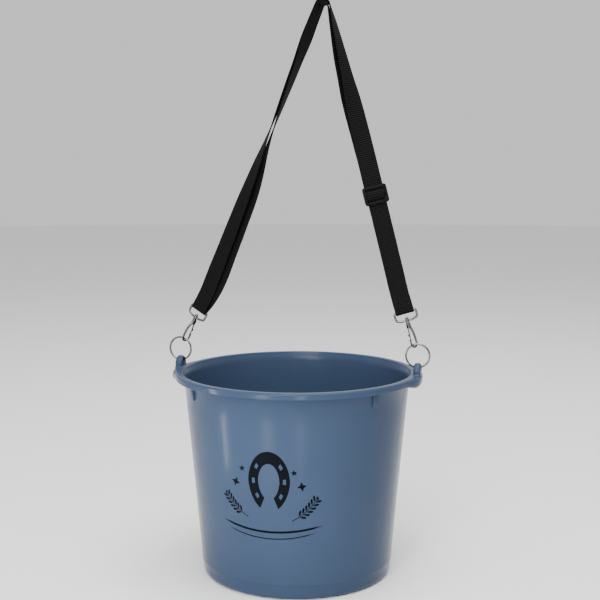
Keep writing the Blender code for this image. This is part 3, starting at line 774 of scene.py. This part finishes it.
def band(points, widths):
    """The outline of a stroke through flat points, with its width at each."""
    left, right = [], []
    last = len(points) - 1
    for i, (x, y) in enumerate(points):
        ahead, behind = points[min(i + 1, last)], points[max(i - 1, 0)]
        way = Vector((ahead[0] - behind[0], ahead[1] - behind[1])).normalized()
        left.append((x - way.y * widths[i] / 2, y + way.x * widths[i] / 2))
        right.append((x + way.y * widths[i] / 2, y - way.x * widths[i] / 2))
    return left + right[::-1]


def horseshoe_outlines():
    """A plain horseshoe in two rails with nail holes between them, open at the bottom."""
    steps = 48
    centre = (PRINT_MIDDLE, 160 * MM)
    inner, web_in, web_out, outer = [], [], [], []
    for i in range(steps + 1):
        a = radians(mix(-62, 242, i / steps))
        spread = 1 - 0.10 * max(0.0, -sin(a))
        for line, wide, tall in (
            (inner, 14, 24), (web_in, 18.5, 29), (web_out, 22.5, 34), (outer, 27.5, 40),
        ):
            x = centre[0] + cos(a) * wide * MM * spread
            line.append((x, centre[1] + sin(a) * tall * MM))
    shapes = [inner + web_in[::-1], web_out + outer[::-1]]
    holes = (4, 10, 16, 32, 38, 44)
    start = 0
    for hole in holes:
        shapes.append(web_in[start : hole] + web_out[start : hole][::-1])
        start = hole + 1
    shapes.append(web_in[start:] + web_out[start:][::-1])
    return shapes


def star_outline(x, z, radius, points, turn):
    outline = []
    for i in range(points * 2):
        a = radians(turn) + pi * i / points
        r = radius if i % 2 == 0 else radius * 0.42
        outline.append((x + r * cos(a), z + r * sin(a)))
    return outline


def sprig_outlines(start, end, bend):
    """An oat sprig: a curved stem with pairs of pointed grains."""
    start, end = Vector(start), Vector(end)
    way = end - start
    side = Vector((-way.y, way.x)).normalized()
    stem = []
    steps = 16
    for i in range(steps + 1):
        t = i / steps
        spot = start + way * t + side * (bend * sin(pi * t))
        stem.append((spot.x, spot.y))
    shapes = [band(stem, [1.0 * MM] * len(stem))]
    for i in range(2, 13, 2):
        root = Vector(stem[i])
        ahead = (Vector(stem[i - 1]) - root).normalized()
        for sense in (-1, 1):
            lean = Vector((-ahead.y, ahead.x)) * sense
            way_out = (ahead * 0.75 + lean * 0.66).normalized()
            across = Vector((-way_out.y, way_out.x))
            grain = []
            for k in range(14):
                a = 2 * pi * k / 14
                length = 3.9 * MM * (1 - cos(a))
                wide = 1.45 * MM * sin(a) * (1 - 0.25 * cos(a))
                spot = root + lean * 0.8 * MM + way_out * (length + 0.3 * MM) + across * wide
                grain.append((spot.x, spot.y))
            shapes.append(grain)
    tip = Vector(stem[0])
    shapes.append([(tip.x + 1.5 * MM * cos(a), tip.y + 2.6 * MM * sin(a)) for a in
                   (2 * pi * k / 12 for k in range(12))])
    return shapes


def rule_outline(drop, width, half):
    points = []
    for i in range(41):
        share = mix(-1, 1, i / 40)
        points.append((PRINT_MIDDLE + share * half, (102 - drop - 9 * (1 - share**2)) * MM))
    ends = [width * smooth(min(i, 40 - i) / 6 + 0.15) for i in range(41)]
    return band(points, ends)


def make_print():
    decal("print_horseshoe", horseshoe_outlines())
    decal("print_stars", [
        star_outline(PRINT_MIDDLE + x * MM, z * MM, r * MM, points, turn)
        for x, z, r, points, turn in STARS
    ])
    decal("print_sprig_left", sprig_outlines((-70 * MM, 139 * MM), (-37 * MM, 111 * MM), -3 * MM))
    decal("print_sprig_right", sprig_outlines((54 * MM, 139 * MM), (21 * MM, 109 * MM), 3 * MM))
    decal("print_rules", [rule_outline(0, 2.8 * MM, 68 * MM), rule_outline(9, 1.3 * MM, 60 * MM)])


# ---- split rings --------------------------------------------------------------------
def make_ring(side, sign):
    """Two flat turns side by side, with a joggle where the first passes to the second."""
    full = 2 * pi
    end = 2 * full - RING_JOGGLE - RING_END_GAP
    count = 300
    line = []
    for i in range(count + 1):
        a = end * i / count
        across = (smooth((a - (full - RING_JOGGLE)) / RING_JOGGLE) - 0.5) * RING_PITCH
        line.append((RING_RADIUS * cos(a), across, RING_RADIUS * sin(a)))
    flat = RING_THICK / RING_WIDTH
    ring = wire(side + "_split_ring", line, RING_WIDTH / 2, NICKEL, flat=flat)
    transform(ring, Matrix.Rotation(RING_START, 4, "Y"))
    transform(ring, Matrix.Rotation(RING_TURN[side], 4, "Z"))
    transform(ring, Matrix.Translation((sign * LUG_X, 0, HINGE_Z + RING_RADIUS)))
    return piece(ring, side + "_ring", side + "_ring")


# ---- swivel snap hooks --------------------------------------------------------------
def eye_matrix(side):
    """Origin at the eye's lower bar, Z along the swivel's axis, X along the bar."""
    joint = JOINTS[side + "_hook_swivel"]
    up = Vector(joint["axis"]).normalized()
    lean = math.atan2(up.x, up.z)
    turn = Matrix.Rotation(lean, 4, "Y") @ Matrix.Rotation(EYE_TURN[side], 4, "Z")
    return Matrix.Translation(joint["pos_m"]) @ turn


def hook_matrix(side):
    return eye_matrix(side) @ Matrix.Rotation(HOOK_TURN[side] - EYE_TURN[side], 4, "Z")


def eye_line():
    half = EYE_WIDTH / 2
    corner = 4.2 * MM
    low = [(-half + corner, 0.2 * MM), (-half * 0.45, -EYE_BOW * 0.6)]
    low += [(0, -EYE_BOW * 0.6), (half * 0.45, -EYE_BOW * 0.6), (half - corner, 0.2 * MM)]
    right = arc((half - corner, corner + 0.2 * MM), corner, -60, 0, 4)
    top = arc((half - 1.6 * MM, EYE_HEIGHT - 1.6 * MM), 1.6 * MM, 0, 90, 4)
    ring = low + right + top
    ring += [(-x, z) for x, z in reversed(right + top)]
    points = [(x, 0, z) for x, z in ring]
    line = curve_through(points + points[:1], 6)
    return line[:-1]


def make_eye(side):
    eye = wire(side + "_eye_wire", eye_line(), EYE_WIRE, NICKEL, closed=True, sides=24)
    profile = in_mm(
        (0, -2.75), (2.4, -2.75), (2.9, -2.3), (3.0, -1.6), (3.0, 0.2), (2.7, 0.75), (2.2, 0.95),
        (0, 0.95),
    )
    collar = lathe("collar", profile, NICKEL, 56)
    bore = cylinder("bore", STEM_RADIUS + 0.3 * MM, 12 * MM, (0, 0, 0), (0, 0, 1), NICKEL)
    combine(eye, [collar], "UNION")
    combine(eye, [bore], "DIFFERENCE")
    transform(eye, eye_matrix(side))
    return piece(eye, "strap", side + "_hook_eye")


def hook_line():
    points = in_mm((0.2, -6.0), (1.6, -9.5), (3.4, -14), (4.7, -19), (5.3, -25))
    points += arc((0, -LOOP_CENTRE), LOOP_RADIUS, 0, -180, 8)
    points += [(-LOOP_RADIUS - 0.2 * MM, -29.5 * MM), (-LOOP_RADIUS - 0.5 * MM, -27 * MM)]
    return curve_through([(x, 0, z) for x, z in points], 6)


def hook_thickness(share):
    """The cast wire is stout at the neck and slims towards the nose."""
    neck = mix(1.25, 1.0, smooth(share / 0.45))
    return HOOK_WIRE * mix(neck, 0.62, smooth((share - 0.86) / 0.14))


def make_hook_body(side):
    stem = in_mm(
        (0, 3.9), (0.9, 3.8), (1.7, 3.5), (2.25, 2.9), (2.4, 2.3), (2.4, 1.6), (2.2, 1.3),
        (1.3, 1.3), (1.3, -3.1), (2.5, -3.1), (2.7, -3.35), (2.7, -4.6), (2.5, -5.8),
        (2.2, -7.0), (1.2, -7.5), (0, -7.6),
    )
    body = lathe(side + "_hook_cast", stem[::-1], NICKEL, 48)
    wire_part = wire("hook_wire", hook_line(), hook_thickness, NICKEL, sides=24)
    size, centre = in_mm((5.4, CHEEK_WIDTH / MM, 7.0), (-0.5, 0, -8.4))
    cheeks = rounded_box("cheeks", size, centre, NICKEL, 1.1 * MM, 5)
    centre = (PIN_X - 0.6 * MM, 0, PIN_Z - 2.0 * MM)
    slot = box("slot", (5.0 * MM, SLOT_WIDTH, 9.0 * MM), centre, NICKEL)
    hole = cylinder("hole", PIN_RADIUS + 0.05 * MM, 9 * MM, (PIN_X, 0, PIN_Z), (0, 1, 0), NICKEL)
    combine(body, [wire_part, cheeks], "UNION")
    combine(body, [slot, hole], "DIFFERENCE")
    transform(body, hook_matrix(side))
    return piece(body, side + "_hook", side + "_hook_body")


def gate_thickness(share):
    """Thin at the pin, stoutest along the middle and slimmer towards the tip."""
    root = mix(0.5, 1.05, smooth(share / 0.18))
    return GATE_WIRE * root * mix(1, 0.8, smooth(share / 0.5 - 1))


def make_gate(side):
    line = in_mm((-1.5, -9.4), (-2.3, -11.4), (-3.1, -14), (-3.9, -18), (-4.2, -23))
    line.append((-4.0 * MM, GATE_TIP_Z))
    points = curve_through([(x, 0, z) for x, z in line], 10)
    gate = wire(side + "_gate_lever", points, gate_thickness, NICKEL, sides=20)
    centre = (PIN_X, 0, PIN_Z)
    knuckle = cylinder("knuckle", 1.6 * MM, 0.9 * MM, centre, (0, 1, 0), NICKEL)
    nub = rounded_box("nub", *in_mm((2.6, 1.7, 2.6), (-5.3, 0, -20.4)), NICKEL, 0.75 * MM, 5)
    hole = cylinder("hole", PIN_RADIUS + 0.1 * MM, 6 * MM, centre, (0, 1, 0), NICKEL)
    combine(gate, [knuckle, nub], "UNION")
    combine(gate, [hole], "DIFFERENCE")
    transform(gate, hook_matrix(side))
    return piece(gate, side + "_gate", side + "_gate")


def make_pin(side):
    """The gate's pin, its ends lightly peened in the cheeks."""
    half = CHEEK_WIDTH / 2
    profile = [(0, -half), (0.4 * MM, -half), (PIN_RADIUS, -half + 0.2 * MM)]
    profile += [(r, -z) for r, z in reversed(profile)]
    pin = lathe(side + "_gate_rivet", profile, NICKEL, 40)
    place = Matrix.Translation((PIN_X, 0, PIN_Z)) @ Matrix.Rotation(radians(90), 4, "X")
    transform(pin, hook_matrix(side) @ place)
    return piece(pin, side + "_hook", side + "_gate_pin")


def make_spring(side):
    """The gate's coil spring, round the pin beside the knuckle, its leg in the slot's top."""
    turns, count = 2.25, 110
    start, pitch, radius = -1.05 * MM, 0.21 * MM, 0.92 * MM
    line = []
    for i in range(count + 1):
        a = 2 * pi * turns * i / count
        across = start + pitch * turns * i / count
        line.append(Vector((PIN_X + radius * cos(a), across, PIN_Z + radius * sin(a))))
    last = line[-1]
    line += [last + Vector((-0.7, 0, 0.1)) * MM, last + Vector((-1.4, 0, 0.3)) * MM]
    spring = wire(side + "_gate_coil", line, SPRING_WIRE, NICKEL, sides=10)
    transform(spring, hook_matrix(side))
    return piece(spring, side + "_hook", side + "_gate_spring")


# ---- strap --------------------------------------------------------------------------
def at_length(table, distance, reach):
    """A table's values at a signed distance from the top, rounded off over the reach."""
    rows = []
    for k in (-2, -1, 0, 1, 2):
        mm = min(max((distance + k * reach) / MM, table[0][0]), table[-1][0])
        for low, high in zip(table, table[1:]):
            if mm <= high[0]:
                share = (mm - low[0]) / (high[0] - low[0])
                rows.append([mix(a, b, share) for a, b in zip(low[1:], high[1:])])
                break
    return [sum(values) / len(rows) for values in zip(*rows)]


def eye_bar(side):
    frame_of_eye = eye_matrix(side)
    return frame_of_eye @ Vector((0, 0, EYE_HEIGHT)), frame_of_eye.to_3x3() @ Vector((0, 0, 1))


def straight(start, end):
    count = max(2, round((end - start).length / STATION_STEP))
    return [start.lerp(end, i / count) for i in range(count + 1)]


def eased_corner(before, corner, after, reach):
    """A short curve in place of the corner between two straight runs."""
    start = corner + (before - corner).normalized() * reach
    end = corner + (after - corner).normalized() * reach
    count = round(2 * reach / STATION_STEP)
    line = []
    for i in range(count + 1):
        t = i / count
        line.append(start * (1 - t) ** 2 + corner * 2 * t * (1 - t) + end * t**2)
    return line


def strap_line():
    """The strap's middle line, from the right eye's bar over the top to the left eye's."""
    right, right_up = eye_bar("right")
    left, left_up = eye_bar("left")
    right_knee = right + right_up * STRAIGHT_FROM_EYE
    left_knee = left + left_up * STRAIGHT_FROM_EYE
    into = (APEX - right_knee).normalized()
    out = (left_knee - APEX).normalized()
    reach = APEX_RADIUS / math.tan((pi - into.angle(out)) / 2)
    middle = APEX - into * reach + Vector((-into.z, 0, into.x)) * APEX_RADIUS
    from_angle = math.atan2(-into.x, into.z)
    turn = into.angle(out)
    crown = []
    for i in range(61):
        a = from_angle + turn * i / 60
        crown.append(middle + Vector((cos(a), 0, sin(a))) * APEX_RADIUS)
    right_bend = eased_corner(right, right_knee, APEX, 14 * MM)
    left_bend = eased_corner(APEX, left_knee, left, 14 * MM)
    return (
        straight(right, right_bend[0]) + right_bend[1:] + straight(right_bend[-1], crown[0])[1:]
        + crown[1:] + straight(crown[-1], left_bend[0])[1:] + left_bend[1:]
        + straight(left_bend[-1], left)[1:]
    )


class Station:
    """One place along the strap: its middle, directions and the two layers' centres."""

    def __init__(self, line, lengths, top, i):
        self.point = line[i]
        self.along = heading(line, i)
        self.length = lengths[i]
        from_top = lengths[top] - lengths[i]
        end = min(lengths[i], lengths[-1] - lengths[i])
        reach = min(6 * MM, end / 2.5)
        loose = smooth(end / (60 * MM))
        ripple = noise.noise(Vector((from_top * 24, 0.0, 3.1))) * 2.2
        outward = Vector((self.along.z, 0, -self.along.x))
        turn = radians(at_length(TWIST, from_top, reach)[0] + ripple * loose)
        self.width = Vector((0, cos(turn), 0)) + outward * sin(turn)
        self.face = outward * cos(turn) - Vector((0, sin(turn), 0))
        self.offset = mix(BAR_OFFSET, LAYER_OFFSET, smooth(end / SPREAD_LENGTH))
        push, gap = [value * MM for value in at_length(FAN, from_top, reach)]
        gap += 0.12 * MM * loose
        self.inner = self.point - self.face * (self.offset + gap) - self.width * push
        self.outer = self.point + self.face * self.offset


def strap_stations():
    line = strap_line()
    lengths = running_lengths(line)
    top = max(range(len(line)), key=lambda i: line[i].z)
    return [Station(line, lengths, top, i) for i in range(len(line))]


def round_bar(station, sense):
    """The webbing's half turn round an eye's top bar."""
    steps = 28
    turned = []
    for i in range(1, steps):
        a = pi * i / steps
        normal = station.face * cos(a) + station.along * (sense * sin(a))
        turned.append((station.point + normal * station.offset, station.width, normal))
    return turned


def ribbon(name, places, width, thick):
    """Webbing through places of (centre, width direction, face normal): round selvedges,
    slightly thicker edge cords, and ribs across it at the weave's pitch."""
    lengths = running_lengths([centre for centre, across, normal in places])
    columns = [1, 0.93, 0.82, 0.5, 0.17, -0.17, -0.5, -0.82, -0.93, -1]
    selvedge = ((0.36, 0.36), (0.5, 0.0), (0.36, -0.36))
    half = width / 2 - thick / 2
    outlines = []
    for (centre, across, normal), length in zip(places, lengths):
        rib = RIB_HEIGHT * cos(2 * pi * length / RIB_PITCH)
        wander = 0.12 * MM * noise.noise(Vector((length * 130, 0.0, 7.7)))
        top = []
        for a in columns:
            cord = 0.07 * MM if 0.8 < abs(a) < 0.97 else 0.0
            lift = thick / 2 + (cord + rib) * (1 if abs(a) < 0.99 else 0.4)
            top.append((a * half + wander, lift))
        side = [(-half - thick * a + wander, thick * b) for a, b in selvedge]
        bottom = [(a, -b) for a, b in reversed(top)]
        other = [(half + thick * a + wander, -thick * b) for a, b in selvedge]
        outline = [centre + across * a + normal * b for a, b in top + side + bottom + other]
        outlines.append(outline)
    return sweep(name, outlines, WEBBING, lengths=lengths)


def make_webbing(stations, slider_length):
    """One length of webbing: turned back at the right eye, over the top, round the left
    eye's bar and back over the top to just above the slider."""
    tail = [s for s in stations if s.length <= TURN_BACK]
    places = [(s.point - s.face * s.offset, s.width, -s.face) for s in reversed(tail)]
    places += [place for place in reversed(round_bar(stations[0], -1))]
    places += [(s.outer, s.width, s.face) for s in stations]
    places += round_bar(stations[-1], 1)
    inner = [s for s in stations if s.length > slider_length + LAYER_END_GAP]
    places += [(s.inner, s.width, -s.face) for s in reversed(inner)]
    strap = ribbon("strap_band", places, WEB_WIDTH, WEB_THICK)
    return piece(strap, "strap", "strap_webbing")


# ---- stitching ----------------------------------------------------------------------
STITCH_LENGTH = 2.6 * MM
STITCH_GAP = 0.7 * MM
STITCH_SINK = 0.35 * MM
SEAM_HALF = 9.5 * MM


def stitches(name, seams, spot, body, node):
    """Rows of short arched stitches along seams of (across, along) points. spot turns such
    a point and a lift into a place on the webbing."""
    threads = []
    pitch = STITCH_LENGTH + STITCH_GAP
    for start, end in seams:
        start, end = Vector(start), Vector(end)
        count = max(1, round((end - start).length / pitch))
        for i in range(count):
            low = start.lerp(end, (i + 0.11) / count)
            high = start.lerp(end, (i + 0.89) / count)
            line = []
            for k in range(9):
                t = k / 8
                flat = low.lerp(high, t)
                lift = mix(-STITCH_SINK, THREAD * 0.75, smooth(min(t, 1 - t) * 4.5))
                line.append(spot(flat.x, flat.y, lift))
            up = (spot(low.x, low.y, 1 * MM) - spot(low.x, low.y, 0)).normalized()
            threads.append(wire("stitch", line, THREAD * 0.8, THREAD_LOOK, up, sides=10, flat=0.85))
    return piece(join(name, threads), body, node)


def box_seams(half, low, high):
    corners = [(-half, low), (half, low), (half, high), (-half, high)]
    seams = list(zip(corners, corners[1:] + corners[:1]))
    return seams + [(corners[0], corners[2]), (corners[1], corners[3])]


def make_right_stitching(stations):
    """The turn-back's stitching, on both faces of the strap."""
    near = [s for s in stations if s.length < 30 * MM]

    def on_front(across, along, lift):
        s = min(near, key=lambda s: abs(s.length - along))
        return s.outer + s.face * (WEB_THICK / 2 + lift) + s.width * across

    def on_back(across, along, lift):
        s = min(near, key=lambda s: abs(s.length - along))
        return s.point - s.face * (s.offset + WEB_THICK / 2 + lift) + s.width * across

    seams = box_seams(SEAM_HALF, 8 * MM, 17 * MM)
    stitches("right_end_stitches", seams, on_front, "strap", "right_end_stitching")
    stitches("right_end_stitches_back", seams, on_back, "strap", None)


# ---- slider -------------------------------------------------------------------------
def slider_place(stations):
    """The slider's own frame: X across the webbing, Z up along it, -Y out of its face."""
    rising = [s for s in stations if s.along.z > 0.5]
    s = min(rising, key=lambda s: abs(s.point.z - SLIDER_Z))
    turn = Matrix((s.width, -s.face, s.along)).transposed().to_4x4()
    return Matrix.Translation(s.outer) @ turn, s.length


def make_slider(place):
    """A moulded tri-glide: crossbars in front of the webbing, the centre bar behind it."""
    depth = SLIDER_FRONT + SLIDER_BACK
    middle = (SLIDER_BACK - SLIDER_FRONT) / 2
    plate = box("slider_shell", (SLIDER_WIDTH, depth, SLIDER_LENGTH), (0, middle, 0), PLASTIC)
    bm = bmesh.new()
    bm.from_mesh(plate.data)
    upright = [e for e in bm.edges if abs((e.verts[0].co - e.verts[1].co).normalized().y) > 0.9]
    bmesh.ops.bevel(bm, geom=upright, offset=3.6 * MM, segments=10, profile=0.5, affect="EDGES")
    bm.to_mesh(plate.data)
    bm.free()
    size = (SLIDER_WIDTH - 2 * SIDE_BAR, depth * 2, SLIDER_LENGTH * 2)
    combine(plate, [box("window", size, (0, middle, 0), PLASTIC)], "DIFFERENCE")
    settle(bevel(plate, 0.9 * MM, 4))
    bars = []
    cross_depth = SLIDER_FRONT - 1.15 * MM
    for sign in (-1, 1):
        height = sign * (SLIDER_LENGTH - CROSS_BAR) / 2 * 0.98
        centre = (0, -SLIDER_FRONT + cross_depth / 2 + 0.1 * MM, height)
        size = (SLIDER_WIDTH - SIDE_BAR, cross_depth, CROSS_BAR)
        bars.append(rounded_box("bar", size, centre, PLASTIC, 0.95 * MM, 5))
    size = (SLIDER_WIDTH - SIDE_BAR, 1.8 * MM, CROSS_BAR)
    bars.append(rounded_box("bar", size, (0, CENTRE_BAR_DEPTH, 0), PLASTIC, 0.6 * MM, 4))
    combine(plate, bars, "UNION")
    transform(plate, place)
    return piece(plate, "slider", "slider_frame")


def make_slider_hump(place):
    """The webbing that bulges out of the slider's window as it passes over it."""
    places = []
    count = 44
    for i in range(count + 1):
        z = mix(-HUMP_SPAN, HUMP_SPAN, i / count)
        t = (z + HUMP_SPAN) / (2 * HUMP_SPAN)
        rise = sin(pi * t ** 0.9) ** 0.6
        places.append(Vector((0, -HUMP_FOOT - HUMP_RISE * rise, z)))
    stations = []
    for i, centre in enumerate(places):
        along = heading(places, i)
        stations.append((centre, Vector((1, 0, 0)), Vector((0, -along.z, along.y))))
    hump = ribbon("slider_hump", stations, WEB_WIDTH, HUMP_THICK)
    transform(hump, place)
    return piece(hump, "slider", None)


def slider_tail_line():
    """Down between strap and centre bar, round the bar and up to the tail's end."""
    half_bar = CROSS_BAR / 2 + 0.2 * MM
    near = CENTRE_BAR_DEPTH - BAR_TURN_RADIUS
    top, low = Vector((0, near, TAIL_START)), Vector((0, near, -half_bar))
    turned = arc((CENTRE_BAR_DEPTH, -half_bar), BAR_TURN_RADIUS, 180, 360, 24)[1:]
    tail = [(5.7 * MM, half_bar)] + in_mm((4.9, 8), (4.6, 13), (4.4, 24))
    tail.append((4.3 * MM, TAIL_LENGTH))
    line = [top.lerp(low, i / 34) for i in range(35)]
    line += [Vector((0, y, z)) for y, z in turned]
    return line + curve_through([line[-1]] + [(0, y, z) for y, z in tail], 20)[1:]


def make_slider_webbing(place):
    """The webbing's sewn end: up from the centre bar behind the strap, tail outside it."""
    line = slider_tail_line()
    stations = []
    for i, centre in enumerate(line):
        along = heading(line, i)
        stations.append((centre, Vector((1, 0, 0)), Vector((0, along.z, -along.y))))
    loop = ribbon("slider_loop", stations, WEB_WIDTH, LOOP_THICK)
    transform(loop, place)
    piece(loop, "slider", "slider_webbing")

    tail = [p for p in line if p.z > TAIL_START and p.y > CENTRE_BAR_DEPTH]

    def on_tail(across, along, lift):
        spot = min(tail, key=lambda p: abs(p.z - along))
        return place @ Vector((across, spot.y + LOOP_THICK / 2 + lift, along))

    seams = box_seams(SEAM_HALF, 18 * MM, 33 * MM)
    stitches("slider_stitches", seams, on_tail, "slider", "slider_stitching")


# ---- everything ---------------------------------------------------------------------
make_bucket()
make_print()
for side, sign in (("left", -1), ("right", 1)):
    make_ring(side, sign)
    make_eye(side)
    make_hook_body(side)
    make_gate(side)
    make_pin(side)
    make_spring(side)
strap = strap_stations()
slider_frame_place, slider_at = slider_place(strap)
make_webbing(strap, slider_at)
make_right_stitching(strap)
make_slider(slider_frame_place)
make_slider_hump(slider_frame_place)
make_slider_webbing(slider_frame_place)


# ---- floor, light and camera --------------------------------------------------------
def area_light(name, azimuth, elevation, distance, size, power, aim=(0, 0, 0.2)):
    """A rectangular softbox round the object. Azimuth 0 is in front of the bucket, positive
    to its right; size is (width, height)."""
    data = bpy.data.lights.new(name, "AREA")
    data.shape = "RECTANGLE"
    data.size, data.size_y = size
    data.energy = power
    lamp = bpy.data.objects.new(name, data)
    bpy.context.scene.collection.objects.link(lamp)
    a, e = radians(azimuth), radians(elevation)
    way = Vector((sin(a) * cos(e), -cos(a) * cos(e), sin(e)))
    lamp.location = Vector(aim) + way * distance
    lamp.rotation_euler = (-way).to_track_quat("-Z", "Y").to_euler()
    return lamp


def make_stage():
    bm = bmesh.new()
    bmesh.ops.create_circle(bm, cap_ends=True, radius=FLOOR_RADIUS, segments=96)
    floor = finish_mesh("floor", bm, FLOOR_PAINT)
    world = bpy.data.worlds.new("studio")
    world.use_nodes = True
    sky = world.node_tree.nodes["Background"]
    sky.inputs["Color"].default_value = (1, 1, 1, 1)
    sky.inputs["Strength"].default_value = WORLD_STRENGTH
    bpy.context.scene.world = world
    area_light("key_left", -40, 50, 2.2, (0.5, 1.2), 4)
    area_light("front_left", -8, 34, 2.6, (0.5, 1.7), 36)
    area_light("front_right", 6, 36, 2.8, (0.5, 1.5), 20)
    strip_light("streak_narrow", -29, (0.025, 0.26), 0.13)
    strip_light("streak_left", -4, (0.07, 0.26), 0.12)
    strip_light("streak_right", 13, (0.045, 0.26), 0.07)
    area_light("back_fill", 180, 55, 2.8, (1.8, 1.4), 16)
    area_light("overhead", 40, 78, 2.4, (1.6, 1.6), 66)


def strip_light(name, facing, size, power):
    """A low upright strip that draws a streak down the wall where the wall faces that way.
    The tapered wall mirrors what stands near the floor, so the strips stand low and close."""
    view = math.degrees(CAMERA_AZIMUTH)
    wall = radians(facing)
    spot = Vector((sin(wall), -cos(wall), 0)) * STREAK_RADIUS
    spot.z = STREAK_HEIGHT
    lamp = area_light(name, 2 * facing - view, 0, STREAK_DISTANCE, size, power, spot)
    lamp.data.spread = STREAK_SPREAD
    lamp.visible_camera = False


def make_camera():
    data = bpy.data.cameras.new("camera")
    data.lens = CAMERA_LENS
    data.shift_x = CAMERA_SHIFT
    camera = bpy.data.objects.new("camera", data)
    bpy.context.scene.collection.objects.link(camera)
    camera.location = (
        sin(CAMERA_AZIMUTH) * CAMERA_DISTANCE,
        -cos(CAMERA_AZIMUTH) * CAMERA_DISTANCE,
        CAMERA_HEIGHT,
    )
    camera.rotation_euler = (pi / 2 - CAMERA_TILT, 0, CAMERA_AZIMUTH)
    bpy.context.scene.camera = camera


make_stage()
make_camera()
